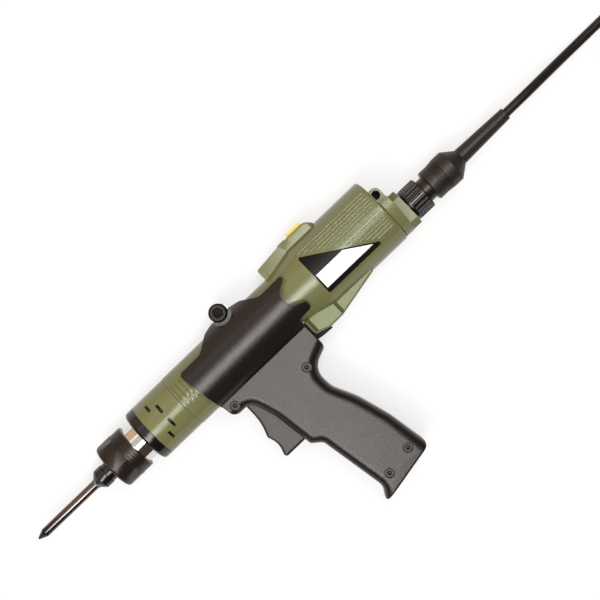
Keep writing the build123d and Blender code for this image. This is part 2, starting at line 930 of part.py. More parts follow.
def housing_shell():
    """Both halves in one, before they are parted."""
    turned(body_outline, radii=[0, 0.4, 6, 8, rear_rounding, 0])
    add(switch_block.part)
    box(
        block_front + block_slope - 3.5,
        block_front + block_slope + 3.0,
        block_height - 1,
        block_height + mark_pad_rise,
        -slider_half,
        slider_half,
    )
    add(body_cavity.part, mode=Mode.SUBTRACT)
    slab(pocket_outline, -pocket_half, pocket_half, mode=Mode.SUBTRACT)
    box(
        slider_front - slider_travel - free_gap,
        slider_back + slider_travel + free_gap,
        slider_foot,
        block_height + 2,
        -slider_half - free_gap,
        slider_half + free_gap,
        mode=Mode.SUBTRACT,
    )
    cross_pin(
        lever_pin_x,
        lever_pin_y,
        lever_pin_radius,
        -lever_pin_reach,
        lever_pin_reach,
        mode=Mode.SUBTRACT,
    )
    pin_plane = Plane(origin=place(start_pin_x, -rear_radius), x_dir=(1, 0, 0), z_dir=(0, 1, 0))
    with BuildSketch(pin_plane) as pin_hole:
        Circle(start_pin_radius + running)
    extrude(pin_hole.sketch, amount=rear_radius - 5, mode=Mode.SUBTRACT)
    tube(end_wall - 1, body_back + 1, socket_hole, height=plug_height, mode=Mode.SUBTRACT)
    for groove in ring_grooves:
        for turn in (0, 180):
            ring_cut(
                nose_back + groove,
                nose_back + groove + groove_width,
                barrel_radius + 1,
                barrel_radius - groove_depth,
                36.0 + turn,
                52.0,
            )
    for rib in range(rib_count):
        rib_y = rib_top - rib * rib_pitch
        rib_depth_z = sqrt(rear_radius**2 - rib_y**2) - rib_depth
        for low, high in ((rib_depth_z, rear_radius + 1), (-rear_radius - 1, -rib_depth_z)):
            box(
                rib_start + rib_lean * (rib_top - rib_y),
                rib_end,
                rib_y - rib_gap / 2,
                rib_y + rib_gap / 2,
                low,
                high,
                mode=Mode.SUBTRACT,
            )
    for post_x, post_y in post_places:
        cross_pin(post_x, post_y, housing_screw_radius, screw_head_depth, 8.0, mode=Mode.SUBTRACT)
        cross_pin(
            post_x,
            post_y,
            housing_head_radius + seat_gap,
            -rear_radius - 1,
            screw_head_depth,
            mode=Mode.SUBTRACT,
        )


with BuildPart() as left_housing:
    housing_shell()
    split(bisect_by=lengthwise, keep=Keep.TOP)
with BuildPart() as right_housing:
    housing_shell()
    split(bisect_by=lengthwise, keep=Keep.BOTTOM)

with BuildPart() as housing_screws:
    for post_x, post_y in post_places:
        cross_pin(post_x, post_y, housing_screw_radius, screw_head_depth, 7.5)
        cross_pin(
            post_x, post_y, housing_head_radius, screw_head_depth - housing_head_height, screw_head_depth
        )

# Rating plate: thin triangle on the near side, without lettering
plate_thickness = 0.3
plate_gap = 0.05
with BuildPart() as rating_plate:
    tube(cone_back - 1, body_back, rear_radius + plate_gap + plate_thickness, rear_radius + plate_gap)
    slab(
        [(cone_back + 0.6, 16.3), (cone_back + 0.6, -16.3), (cone_back + 51.8, -16.3)],
        0,
        rear_radius + 1,
        radii=[1.2, 1.2, 1.2],
        mode=Mode.INTERSECT,
    )

# Direction slider: ridged button over a flange that stays under the block's top
slider_flange_top = block_front_height - block_wall - 0.2
with BuildPart() as direction_slider:
    box(slider_front, slider_back, slider_flange_top - 1, slider_height, -slider_half, slider_half)
    box(
        slider_front - 1.8,
        slider_back + 1.8,
        slider_flange_top - 1.6,
        slider_flange_top,
        -block_half + block_wall + sliding,
        block_half - block_wall - sliding,
    )
    box(slider_front + 5, slider_back - 5, slider_foot, slider_flange_top - 1, -1.5, 1.5)
    for ridge in range(4):
        ridge_front = slider_front + 2.2 + ridge * 2.4
        box(ridge_front, ridge_front + 1.0, slider_height - 0.7, slider_height + 1, -9, 9, mode=Mode.SUBTRACT)

# Circuit board, direction switch on it and start switch under it
with BuildPart() as circuit_board:
    box(board_front, board_back, board_height, board_height + board_thickness, -board_half, board_half)
    for post_x, post_y in post_places:
        box(post_x - 6, post_x + 6, 0, 10, board_half - 3, board_half + 1, mode=Mode.SUBTRACT)
board_top = board_height + board_thickness
with BuildPart() as direction_switch:
    box(slider_front - 2, slider_back + 2, board_top, slider_foot + 1, -5.0, 5.0)
    box(
        slider_front + 2.5,
        slider_back - 2.5,
        slider_foot - 1,
        slider_foot + 2,
        -1.8,
        1.8,
        mode=Mode.SUBTRACT,
    )
switch_bottom = -6.0
start_pin_top = switch_bottom - 0.3
with BuildPart() as start_switch:
    box(start_pin_x - 8, start_pin_x + 12, switch_bottom, board_height, -5.0, 5.0)
    switch_plane = Plane(origin=place(start_pin_x, switch_bottom), x_dir=(1, 0, 0), z_dir=(0, 1, 0))
    with BuildSketch(switch_plane) as plunger_hole:
        Circle(start_pin_radius + sliding)
    extrude(plunger_hole.sketch, amount=4.0, mode=Mode.SUBTRACT)

# Start lever, with two grooves across it, on a pin at its back
lever_fall = (lever_top_back - lever_top_front) / lever_length
lever_outline = [
    (lever_front, lever_top_front),
    (lever_front, -rear_radius - 3.2),
    (lever_front + 11.4, -rear_radius - 7.6),
    (lever_front + 23.4, -rear_radius - 7.4),
    (lever_back, 0.1 - rear_radius),
    (lever_back, lever_top_back),
]
with BuildPart() as start_lever:
    slab(lever_outline, -lever_half, lever_half, radii=[1.3, 1.6, 4.0, 5.0, 1.6, 1.3])
    side_edges = start_lever.faces().filter_by(Axis.Z).edges()
    fillet(side_edges, lever_rounding)
    for groove_middle in (lever_front + 3.0, lever_front + 24.9):
        for side in (1, -1):
            groove_plane = Plane(
                origin=place(groove_middle, -60, side * lever_half), x_dir=(1, 0, 0), z_dir=(0, 1, 0)
            )
            with BuildSketch(groove_plane) as groove:
                with BuildLine():
                    Polyline(
                        (-lever_groove_width, -side * lever_groove_depth),
                        (lever_groove_width, -side * lever_groove_depth),
                        (0, side * lever_groove_depth),
                        close=True,
                    )
                make_face()
            extrude(groove.sketch, amount=50, mode=Mode.SUBTRACT)
    cross_pin(lever_pin_x, lever_pin_y, lever_pin_radius + running, -20, 20, mode=Mode.SUBTRACT)
with BuildPart() as lever_pin:
    cross_pin(lever_pin_x, lever_pin_y, lever_pin_radius, 0.1 - lever_pin_reach, lever_pin_reach - 0.1)

# Start pin: passes the lever's push to the switch
start_pin_bottom = lever_top_front + lever_fall * (start_pin_x - lever_front) + 0.2
with BuildPart() as start_pin:
    pin_base = Plane(origin=place(start_pin_x, start_pin_bottom), x_dir=(1, 0, 0), z_dir=(0, 1, 0))
    with BuildSketch(pin_base):
        Circle(start_pin_radius)
    extrude(amount=start_pin_top - start_pin_bottom)

# Rear cover: lower half of the end, connector seat, and an ear with blind holes for a hanger's two ends
ear_station = body_back + ear_hole_radius + 0.3
ear_back = body_back + cover_depth + 0.7
with BuildPart() as rear_cover:
    tube(body_back, seat_front, rear_radius - 0.6)
    box(
        body_back - 1,
        seat_front + 1,
        cover_top,
        rear_radius + 1,
        -rear_radius,
        rear_radius,
        mode=Mode.SUBTRACT,
    )
    slab(
        [
            (body_back, cover_top - 2),
            (ear_back, cover_top - 2),
            (ear_back, ear_height),
            (body_back, ear_height),
        ],
        -ear_half,
        ear_half,
        radii=[0, 0, 4.6, 1.0],
    )
    with BuildSketch(across(seat_front, plug_height + 0.4)) as seat_face:
        Rectangle(seat_size, seat_size)
        chamfer(seat_face.vertices(), seat_chamfer)
    extrude(seat_face.sketch, amount=seat_depth)
    tube(body_back - 1, seat_back + 1, socket_hole, height=plug_height, mode=Mode.SUBTRACT)
    for low, high in ((ear_web / 2, ear_half + 1), (-ear_half - 1, -ear_web / 2)):
        cross_pin(ear_station, ear_hole_height, ear_hole_radius, low, high, mode=Mode.SUBTRACT)

# Supply socket in the seat: threaded collar with contact pins
collar_back = seat_back + 8.5
with BuildPart() as supply_socket:
    turned(
        [
            (end_wall, 0),
            (end_wall, socket_hole),
            (seat_back, socket_hole),
            (seat_back, socket_radius),
            (collar_back, socket_radius),
            (collar_back, socket_radius - socket_wall),
            (seat_back + 1, socket_radius - socket_wall),
            (seat_back + 1, 0),
        ],
        height=plug_height,
    )
    with BuildSketch(across(seat_back + 1, plug_height)) as socket_pins:
        with PolarLocations(4.0, 5):
            Circle(0.75)
    extrude(socket_pins.sketch, amount=5.5)

# Plug body, coupling ring and moulded boot
plug_shoulder = collar_back + 0.3
plug_shoulder_back = plug_shoulder + 1.8
plug_nose = seat_back + 2.5
boot_socket = boot_front + 14.0
with BuildPart() as plug_body:
    turned(
        [
            (plug_nose, 0),
            (plug_nose, socket_radius - socket_wall - sliding),
            (plug_shoulder, socket_radius - socket_wall - sliding),
            (plug_shoulder, socket_radius),
            (plug_shoulder_back, socket_radius),
            (plug_shoulder_back, plug_radius),
            (boot_socket, plug_radius),
            (boot_socket, 0),
        ],
        height=plug_height,
    )
    with BuildSketch(across(plug_nose, plug_height)) as contact_holes:
        with PolarLocations(4.0, 5):
            Circle(0.95)
    extrude(contact_holes.sketch, amount=5.0, mode=Mode.SUBTRACT)
coupling_core = coupling_radius - coupling_rib_radius - 0.1
with BuildPart() as coupling_ring:
    turned(
        [
            (coupling_front, socket_radius + sliding),
            (coupling_front, coupling_radius),
            (coupling_back, coupling_radius),
            (coupling_back, plug_radius + sliding),
            (plug_shoulder_back + 0.3, plug_radius + sliding),
            (plug_shoulder_back + 0.3, socket_radius + sliding),
        ],
        radii=[0, 0.9, 0.9, 0, 0, 0],
        height=plug_height,
    )
    with BuildSketch(across(coupling_front + 1.6, plug_height)) as knurl:
        Circle(coupling_radius + 1)
        Circle(coupling_core, mode=Mode.SUBTRACT)
        with PolarLocations(coupling_core, coupling_ribs):
            Circle(coupling_rib_radius, mode=Mode.SUBTRACT)
    extrude(knurl.sketch, amount=coupling_length - 2.6, mode=Mode.SUBTRACT)

boot_ribs = 4
boot_rib_front = boot_front + 7.2
boot_rib_pitch = 1.7
boot_shoulder = boot_front + 21.0
boot_neck = boot_front + 29.5
with BuildPart() as plug_boot:
    turned(
        [
            (boot_front, plug_radius),
            (boot_front, 11.7),
            (boot_rib_front, 11.7),
            (boot_front + 14.0, 12.4),
            (boot_shoulder, 12.4),
            (boot_neck, 5.9),
            (boot_back, 4.6),
            (boot_back, 0),
            (boot_socket, 0),
            (boot_socket, plug_radius),
        ],
        radii=[0, 1.2, 4.0, 4.0, 1.5, 1.8, 0.5, 0, 0, 0],
        height=plug_height,
    )
    for rib in range(boot_ribs):
        rib_front = boot_rib_front + rib * boot_rib_pitch
        tube(rib_front, rib_front + 0.7, 14.0, 11.1, height=plug_height, mode=Mode.SUBTRACT)

# Grip: handle outline, saddle outline and the pockets inside, in stations from the grip's own zero
handle_corners = [
    ((51.6, -8.0), 0),
    ((55.6, -33.2), 6.0),
    ((69.4, -33.2), 8.0),
    ((75.8, -52.0), 30.0),
    ((79.9, -81.6), 4.6),
    ((86.9, -87.2), 5.0),
    ((95.8, -137.2), 10.0),
    ((89.4, -147.06), 1.2),
    ((138.6, -137.55), 5.4),
    ((133.0, -105.5), 60.0),
    ((125.8, -81.2), 50.0),
    ((117.4, -63.5), 18.0),
    ((116.6, -47.0), 13.0),
    ((133.1, -40.4), 4.6),
    ((133.1, -8.0), 0),
]
run_out_corners = [1, 4, 7, 8, 13]  # the edge roundings meet sharply here, before the outline is rounded
saddle_corners = [
    ((53.4, -22.0), 0),
    ((48.2, 14.2), 2.6),
    ((68.0, 14.2), 10.0),
    ((79.5, saddle_radius - 3.6), 8.0),
    ((86.5, saddle_radius - 1.8), 4.0),
    ((105.0, saddle_radius - 1.8), 4.0),
    ((112.5, saddle_radius - 3.6), 8.0),
    ((124.0, 15.0), 10.0),
    ((144.2, 15.4), 1.4),
    ((144.2, 12.6), 1.4),
    ((134.4, 6.8), 7.0),
    ((134.4, -4.6), 5.0),
    ((145.0, -9.0), 2.6),
    ((145.0, -14.8), 2.4),
    ((133.1, -15.4), 1.0),
    ((133.1, -22.0), 0),
]
bolt_x = grip_zero + 96.2
bolt_y = saddle_radius + 0.4
trigger_pin_x = grip_zero + 69.5
trigger_pin_y = -30.0
link_pin_x = grip_zero + 120.0
link_pin_y = -29.0
slot_half = trigger_half + free_gap
spring_back = grip_zero + 96.8
spring_y = -60.0
screw_places = [(60.8, -27.2), (114.2, -42.0), (105.1, -133.0), (126.3, -129.2)]
trigger_room = [
    (64.9, -25.2),
    (64.9, -34.3),
    (50.0, -34.3),
    (50.0, -78.2),
    (96.8, -78.2),
    (96.8, -25.2),
]
link_room = [(80.0, -25.0), (140.0, -25.0), (140.0, -37.4), (80.0, -37.4)]
handle_room = [(94.0, -72.0), (113.5, -72.0), (125.5, -104.0), (128.5, -122.0), (98.6, -122.0)]


def from_grip(corners):
    """Stations and heights of a list of grip points."""
    return [(grip_zero + x, y) for x, y in corners]


def corner_slab(corners, low, high, mode=Mode.ADD):
    """Slab from grip corners that each have their own rounding."""
    slab(
        from_grip([corner for corner, radius in corners]),
        low,
        high,
        radii=[radius for corner, radius in corners],
        mode=mode,
    )


sharp_corners = [
    (corner, 0 if index in run_out_corners else radius)
    for index, (corner, radius) in enumerate(handle_corners)
]
with BuildPart() as handle_blank:
    corner_slab(sharp_corners, 0, grip_half)

    def near_edges(front, back, bottom, top):
        """Edges of the near face whose middles lie between grip stations and heights."""
        return [
            edge
            for edge in handle_blank.faces().sort_by(Axis.Z)[-1].edges()
            if front < edge.center().X - datum_x - grip_zero < back
            and bottom < edge.center().Y - axis_y < top
        ]

    fillet(near_edges(50, 97, -150, -33), front_rounding)
    fillet(near_edges(116, 140, -138, -39), back_rounding)
    fillet(near_edges(108, 130, -150, -139), base_rounding)
    fillet(near_edges(50, 55, -33, -9) + near_edges(133, 134, -33, -9), end_rounding)
    corner_slab(handle_corners, 0, grip_half, mode=Mode.INTERSECT)

with BuildPart() as saddle_blank:
    corner_slab(saddle_corners, 0, saddle_radius + 1)
    tube(grip_zero + 40, grip_zero + 150, saddle_radius, mode=Mode.INTERSECT)

with BuildPart() as left_grip:
    add(handle_blank.part)
    add(saddle_blank.part)
    cross_pin(bolt_x, bolt_y, boss_radius, clamp_gap, bolt_seat)
    turned(
        [
            (grip_zero + 30, 0),
            (grip_zero + 30, barrel_radius + seat_gap),
            (cone_front, barrel_radius + seat_gap),
            (cone_back, rear_radius + seat_gap),
            (cone_back, 0),
        ],
        mode=Mode.SUBTRACT,
    )
    box(grip_zero + 40, grip_zero + 150, 0, 60, -1, clamp_gap, mode=Mode.SUBTRACT)
    cross_pin(bolt_x, bolt_y, seat_radius, bolt_seat, 40, mode=Mode.SUBTRACT)
    cross_pin(bolt_x, bolt_y, bolt_radius + sliding, -1, 40, mode=Mode.SUBTRACT)
    slab(from_grip(trigger_room), -1, slot_half, mode=Mode.SUBTRACT)
    slab(from_grip(link_room), -1, link_half + 0.5, mode=Mode.SUBTRACT)
    slab(from_grip(handle_room), -1, grip_half - grip_wall, mode=Mode.SUBTRACT)
    cross_pin(trigger_pin_x, trigger_pin_y, trigger_pin_radius, -1, 11, mode=Mode.SUBTRACT)
    cross_pin(link_pin_x, link_pin_y, trigger_pin_radius, -1, 11, mode=Mode.SUBTRACT)
    for screw_x, screw_y in from_grip(screw_places):
        cross_pin(screw_x, screw_y, grip_screw_radius, -1, grip_half, mode=Mode.SUBTRACT)
        cross_pin(
            screw_x,
            screw_y,
            grip_screw_recess,
            grip_half - grip_recess_depth,
            grip_half + 1,
            mode=Mode.SUBTRACT,
        )

with BuildPart() as right_grip:
    add(left_grip.part)
    mirror(about=lengthwise, mode=Mode.REPLACE)
    box(lever_front - 3, lever_front + 1.2, -30.6, -19.0, 1.5 - grip_half, -lever_half - 0.7)

# Four screws hold the grip's halves together, heads on the near side
with BuildPart() as grip_screws:
    head_low = grip_half - grip_recess_depth
    for screw_x, screw_y in from_grip(screw_places):
        cross_pin(screw_x, screw_y, grip_screw_radius, -grip_half + grip_recess_depth, head_low)
        cross_pin(screw_x, screw_y, grip_screw_head, head_low, head_low + 2.2)
    with BuildSketch(lengthwise.offset(head_low + 0.6)) as screw_sockets:
        with Locations(*from_grip(screw_places)):
            RegularPolygon(grip_screw_socket, 6, major_radius=False)
    extrude(screw_sockets.sketch, amount=2, mode=Mode.SUBTRACT)

# Clamp bolt with a hexagon socket, and its nut on the far side
with BuildPart() as clamp_bolt:
    cross_pin(bolt_x, bolt_y, bolt_radius, -bolt_seat - nut_thickness - 1.5, bolt_seat)
    cross_pin(bolt_x, bolt_y, bolt_head_radius, bolt_seat, bolt_seat + bolt_head_height)
    chamfer(clamp_bolt.faces().sort_by(Axis.Z)[-1].edges(), 1.2)
    with BuildSketch(lengthwise.offset(bolt_seat + 3.0)) as bolt_socket:
        with Locations((bolt_x, bolt_y)):
            RegularPolygon(bolt_socket_radius, 6, major_radius=False)
    extrude(bolt_socket.sketch, amount=bolt_head_height, mode=Mode.SUBTRACT)
with BuildPart() as clamp_nut:
    with BuildSketch(lengthwise.offset(-bolt_seat - nut_thickness)):
        with Locations((bolt_x, bolt_y)):
            RegularPolygon(nut_across_flats / 2, 6, major_radius=False)
            Circle(bolt_radius, mode=Mode.SUBTRACT)
    extrude(amount=nut_thickness)

# Trigger on its pin, with two finger hollows
trigger_corners = [
    ((65.3, -25.8), 3.6),
    ((65.2, -47.6), 40.0),
    ((61.2, -58.4), 2.4),
    ((63.9, -66.8), 14.0),
    ((60.4, -77.3), 2.2),
    ((83.7, -77.3), 2.2),
    ((81.8, -66.0), 3.0),
    ((79.0, -62.5), 3.0),
    ((79.0, -42.0), 6.0),
    ((73.7, -33.0), 3.0),
    ((73.7, -25.8), 3.6),
]
with BuildPart() as trigger:
    corner_slab(trigger_corners, -trigger_half, trigger_half)
    fillet(trigger.faces().filter_by(Axis.Z).edges(), trigger_rounding)
    cross_pin(trigger_pin_x, trigger_pin_y, trigger_pin_radius + running, -20, 20, mode=Mode.SUBTRACT)
with BuildPart() as trigger_pin:
    cross_pin(trigger_pin_x, trigger_pin_y, trigger_pin_radius, -10.5, 10.5)
spring_start = grip_zero + 79.0 + trigger_spring_wire / 2 + 0.05
spring_length = spring_back - trigger_spring_wire / 2 - 0.05 - spring_start
with BuildPart() as trigger_spring:
    wound_wire(
        *helix_points(
            place(spring_start, spring_y),
            Vector(1, 0, 0),
            Vector(0, 1, 0),
            trigger_spring_radius,
            spring_length,
            trigger_spring_turns,
        ),
        trigger_spring_wire / 2,
    )

# Link: a rocker whose leg the trigger pushes, and whose tongue lifts the start lever
link_corners = [
    ((79.6, -52.0), 1.5),
    ((83.4, -52.0), 1.5),
    ((83.4, -32.4), 2.0),
    ((116.0, -33.2), 4.0),
    ((130.0, -33.6), 8.0),
    ((138.0, -34.6), 4.0),
    ((146.0, -35.1), 0.4),
    ((146.0, -34.2), 0.4),
    ((138.4, -31.5), 2.0),
    ((133.4, -29.7), 2.0),
    ((124.0, -26.4), 4.0),
    ((116.0, -26.4), 2.0),
    ((79.6, -28.4), 2.0),
]
with BuildPart() as trigger_link:
    corner_slab(link_corners, -link_half, link_half)
    cross_pin(link_pin_x, link_pin_y, trigger_pin_radius + running, -20, 20, mode=Mode.SUBTRACT)
with BuildPart() as link_pin:
    cross_pin(link_pin_x, link_pin_y, trigger_pin_radius, -10.5, 10.5)

# Cord: stations, heights and levels above the bench of the stretch from the boot to the coil
lead_points = [
    (boot_back, plug_height, axis_z),
    (boot_back + 16.0, plug_height, axis_z),
    (boot_back + 35.0, plug_height + 0.2, 20.6),
    (boot_back + 54.0, plug_height + 0.4, 12.2),
    (boot_back + 75.0, plug_height + 0.5, 6.6),
    (boot_back + 101.0, plug_height + 0.6, cord_diameter / 2 + coil_lift),
    (boot_back + 126.0, plug_height + 0.6, cord_diameter / 2 + coil_lift),
]
lead_run = [Vector(datum_x + x, axis_y + y, z) for x, y, z in lead_points]
lead_radii = []
for before, corner, after in zip(lead_run, lead_run[1:], lead_run[2:]):
    turn = radians((corner - before).get_angle(after - corner))
    shorter = min((corner - before).length, (after - corner).length)
    lead_radii.append(0.45 * shorter / tan(turn / 2))
print("cord bend radii", [round(radius, 1) for radius in lead_radii])
with BuildPart() as cord_lead:
    with BuildLine() as lead_path:
        FilletPolyline(*lead_run, radius=lead_radii)
    with BuildSketch(Plane(origin=lead_run[0], z_dir=lead_run[1] - lead_run[0])) as lead_section:
        Circle(cord_diameter / 2)
    sweep(lead_section.sketch, path=lead_path.line)
lead_length = sum(edge.length for edge in lead_path.edges())
lead_expected = pi * cord_diameter**2 / 4 * lead_length
print("cord lead", round(lead_length, 1), "volume ratio", round(cord_lead.part.volume / lead_expected, 4))

# Coil: the put-away length winds in on the lower layer and out again on the upper one
coil_outer_radius = coil_inner_radius + coil_pitch * coil_turns / 2
coil_start = lead_run[-1] + Vector(cord_diameter, 0, 0)
coil_centre = coil_start - Vector(0, coil_outer_radius, 0)
climb_half = 0.25  # turns each side of the reversal over which the coil climbs


def coil_point(turns):
    """Point of the coil after some turns, winding clockwise seen from above."""
    past = turns - coil_turns / 2
    level = min(1.0, max(0.0, (past + climb_half) / (2 * climb_half)))
    rise = level * level * (3 - 2 * level)
    spread = abs(past)
    if spread < climb_half:
        spread = (past * past + climb_half * climb_half) / (2 * climb_half)
    radius = coil_inner_radius + coil_pitch * spread
    angle = pi / 2 - 2 * pi * turns
    return coil_centre + Vector(radius * cos(angle), radius * sin(angle), rise * coil_pitch)


coil_steps = int(coil_turns * 8)
coil_points = [coil_point(coil_turns * step / coil_steps) for step in range(coil_steps + 1)]
nudge = 0.0005
coil_headings = []
for step in range(coil_steps + 1):
    here = coil_turns * step / coil_steps
    coil_headings.append((coil_point(here + nudge) - coil_point(here - nudge)).normalized())
coil_headings[0] = Vector(1, 0, 0)
coil_headings[-1] = Vector(-1, 0, 0)
coil_end = coil_points[-1] - Vector(coil_tail, 0, 0)
with BuildPart() as cord_coil:
    with BuildLine() as coil_path:
        Line(coil_points[0] - Vector(cord_diameter, 0, 0), coil_points[0])
        smooth_run(coil_points, coil_headings)
        Line(coil_points[-1], coil_end)
    with BuildSketch(Plane(origin=lead_run[-1], z_dir=(1, 0, 0))) as coil_section:
        Circle(cord_diameter / 2)
    sweep(coil_section.sketch, path=coil_path.line)
coil_length = sum(edge.length for edge in coil_path.edges())
coil_expected = pi * cord_diameter**2 / 4 * coil_length
samples = int(coil_turns * 48)
sampled = [coil_point(coil_turns * step / samples) for step in range(samples + 1)]
least_gap = min(
    (sampled[first] - sampled[second]).length - cord_diameter
    for first in range(samples + 1)
    for second in range(first + 24, samples + 1)
)
print("coil", round(coil_length, 1), "volume ratio", round(cord_coil.part.volume / coil_expected, 4))
print("coil least gap to itself", round(least_gap, 2))
print("cord length", round(lead_length + coil_length, 1))

# Tie round the coil's turns
tie_room = (coil_outer_radius - coil_inner_radius) / 2 + cord_diameter / 2 + free_gap
tie_low = 0.05
tie_inner_low = tie_low + tie_thickness
tie_inner_high = coil_lift + cord_diameter + coil_pitch + free_gap
tie_middle = coil_centre.X + (coil_outer_radius + coil_inner_radius) / 2
tie_plane = Plane(
    origin=(tie_middle, coil_centre.Y + tie_width / 2, (tie_inner_low + tie_inner_high) / 2),
    x_dir=(1, 0, 0),
    z_dir=(0, -1, 0),
)
tie_height = tie_inner_high - tie_inner_low
with BuildPart() as cord_tie:
    with BuildSketch(tie_plane):
        RectangleRounded(2 * (tie_room + tie_thickness), tie_height + 2 * tie_thickness, 2.5)
        RectangleRounded(2 * tie_room, tie_height, 1.5, mode=Mode.SUBTRACT)
    extrude(amount=tie_width)

# Far plug with its own boot, lying beside the coil
far_level = coil_end.Z
far_start = coil_end.X
far_radius = far_level - 0.05
far_plane = Plane(origin=(far_start, coil_end.Y, far_level), x_dir=(-1, 0, 0), z_dir=(0, 0, 1))
far_axis = Axis((far_start, coil_end.Y, far_level), (-1, 0, 0))
far_ring = far_boot_length + 12.0
far_end = far_boot_length + far_body_length
with BuildPart() as far_plug:
    with BuildSketch(far_plane) as far_section:
        with BuildLine():
            FilletPolyline(
                (0, 0),
                (0, 4.4),
                (far_boot_length - 8, 5.6),
                (far_boot_length, 9.6),
                (far_boot_length + 8, 9.8),
                (far_boot_length + 8, plug_radius),
                (far_ring - 2, plug_radius),
                (far_ring - 2, far_radius),
                (far_end - 3, far_radius),
                (far_end - 3, 8.0),
                (far_end, 8.0),
                (far_end, 6.6),
                (far_end - 9, 6.6),
                (far_end - 9, 0),
                radius=[0, 0.5, 4.0, 3.0, 0.8, 0, 0, 0.9, 0.9, 0, 0, 0, 0, 0],
                close=True,
            )
        make_face()
    revolve(far_section.sketch, axis=far_axis)
    far_knurl = Plane(origin=(far_start - far_ring, coil_end.Y, far_level), x_dir=(0, 1, 0), z_dir=(-1, 0, 0))
    with BuildSketch(far_knurl) as far_knurl_face:
        with PolarLocations(far_radius + 0.1, 24):
            Circle(coupling_rib_radius)
    extrude(far_knurl_face.sketch, amount=far_end - far_ring - 5.0, mode=Mode.SUBTRACT)

# Every piece is written under its own name
pieces = {
    "bit": bit,
    "chuck_sleeve": chuck_sleeve,
    "chuck_spring": chuck_spring,
    "chuck_balls": chuck_balls,
    "spindle": spindle,
    "spindle_bearings": spindle_bearings,
    "torque_nut": torque_nut,
    "thrust_washer": thrust_washer,
    "clutch_spring": clutch_spring,
    "clutch_washer": clutch_washer,
    "clutch_pins": clutch_pins,
    "clutch_sleeve": clutch_sleeve,
    "gear_cover": gear_cover,
    "front_ring": front_ring,
    "nose_housing": nose_housing,
    "planet_carrier": planet_carrier,
    "ring_gear": ring_gear,
    "motor_plate": motor_plate,
    "motor_bearings": motor_bearings,
    "motor_can": motor_can,
    "motor_magnets": motor_magnets,
    "rotor_shaft": rotor_shaft,
    "armature_core": armature_core,
    "armature_windings": armature_windings,
    "commutator": commutator,
    "brush_holder": brush_holder,
    "carbon_brushes": carbon_brushes,
    "left_housing": left_housing,
    "right_housing": right_housing,
    "housing_screws": housing_screws,
    "rating_plate": rating_plate,
    "direction_slider": direction_slider,
    "direction_switch": direction_switch,
    "circuit_board": circuit_board,
    "start_switch": start_switch,
    "start_pin": start_pin,
    "start_lever": start_lever,
    "lever_pin": lever_pin,
    "rear_cover": rear_cover,
    "supply_socket": supply_socket,
    "plug_body": plug_body,
    "coupling_ring": coupling_ring,
    "plug_boot": plug_boot,
    "left_grip": left_grip,
    "right_grip": right_grip,
    "grip_screws": grip_screws,
    "clamp_bolt": clamp_bolt,
    "clamp_nut": clamp_nut,
    "trigger": trigger,
    "trigger_pin": trigger_pin,
    "trigger_spring": trigger_spring,
    "trigger_link": trigger_link,
    "link_pin": link_pin,
    "cord_lead": cord_lead,
    "cord_coil": cord_coil,
    "cord_tie": cord_tie,
    "far_plug": far_plug,
}
for index, planet_gear in enumerate(planets):
    pieces[f"planet_gear_{index + 1}"] = planet_gear
os.makedirs("parts", exist_ok=True)
for name, piece in pieces.items():
    piece.part.label = name
    export_step(piece.part, f"parts/{name}.step")
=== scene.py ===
import bpy
import math
import numpy as np
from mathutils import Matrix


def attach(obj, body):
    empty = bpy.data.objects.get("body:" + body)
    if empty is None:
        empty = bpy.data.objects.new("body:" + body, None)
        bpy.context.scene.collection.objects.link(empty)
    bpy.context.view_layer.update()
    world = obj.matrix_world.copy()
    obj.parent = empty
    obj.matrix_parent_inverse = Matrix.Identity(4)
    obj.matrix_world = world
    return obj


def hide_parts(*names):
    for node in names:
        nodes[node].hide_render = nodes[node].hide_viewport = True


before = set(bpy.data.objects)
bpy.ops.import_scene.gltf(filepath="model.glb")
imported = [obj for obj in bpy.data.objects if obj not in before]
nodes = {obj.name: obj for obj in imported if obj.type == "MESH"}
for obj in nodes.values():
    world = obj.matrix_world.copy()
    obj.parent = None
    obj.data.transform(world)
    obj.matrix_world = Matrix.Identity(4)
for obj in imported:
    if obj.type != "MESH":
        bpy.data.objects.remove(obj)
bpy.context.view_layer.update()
print("frame loaded,", len(nodes), "nodes")

# Sizes are in millimetres along the tool: station 0 is the front ring's face, height 0 the tool's axis.
# The axis lies here in the shared frame
axisPlace = {"x": -116.25, "y": 56.0, "z": 26.0}
perMetre = 1000.0


def toFrame(points):  # stations, heights and levels above the floor, to metres in the frame
    shift = np.array([axisPlace["x"], axisPlace["y"], 0.0])
    return (np.asarray(points, float) + shift) / perMetre


# Camera, straight above and turned so that the tool climbs to the right: distance and width of view in metres
camera = {"station": 142.6, "height": -5.8, "distance": 1.1, "width": 0.414, "turn": -43.8, "sensor": 36.0}


def makeCamera(settings):
    lens = bpy.data.cameras.new("camera")
    lens.sensor_width = settings["sensor"]
    lens.lens = settings["sensor"] * settings["distance"] / settings["width"]
    view = bpy.data.objects.new("camera", lens)
    spot = toFrame([[settings["station"], settings["height"], axisPlace["z"]]])[0]
    view.location = (spot[0], spot[1], spot[2] + settings["distance"])
    view.rotation_euler = (0.0, 0.0, math.radians(settings["turn"]))
    bpy.context.scene.collection.objects.link(view)
    bpy.context.scene.camera = view


makeCamera(camera)
print("camera set")

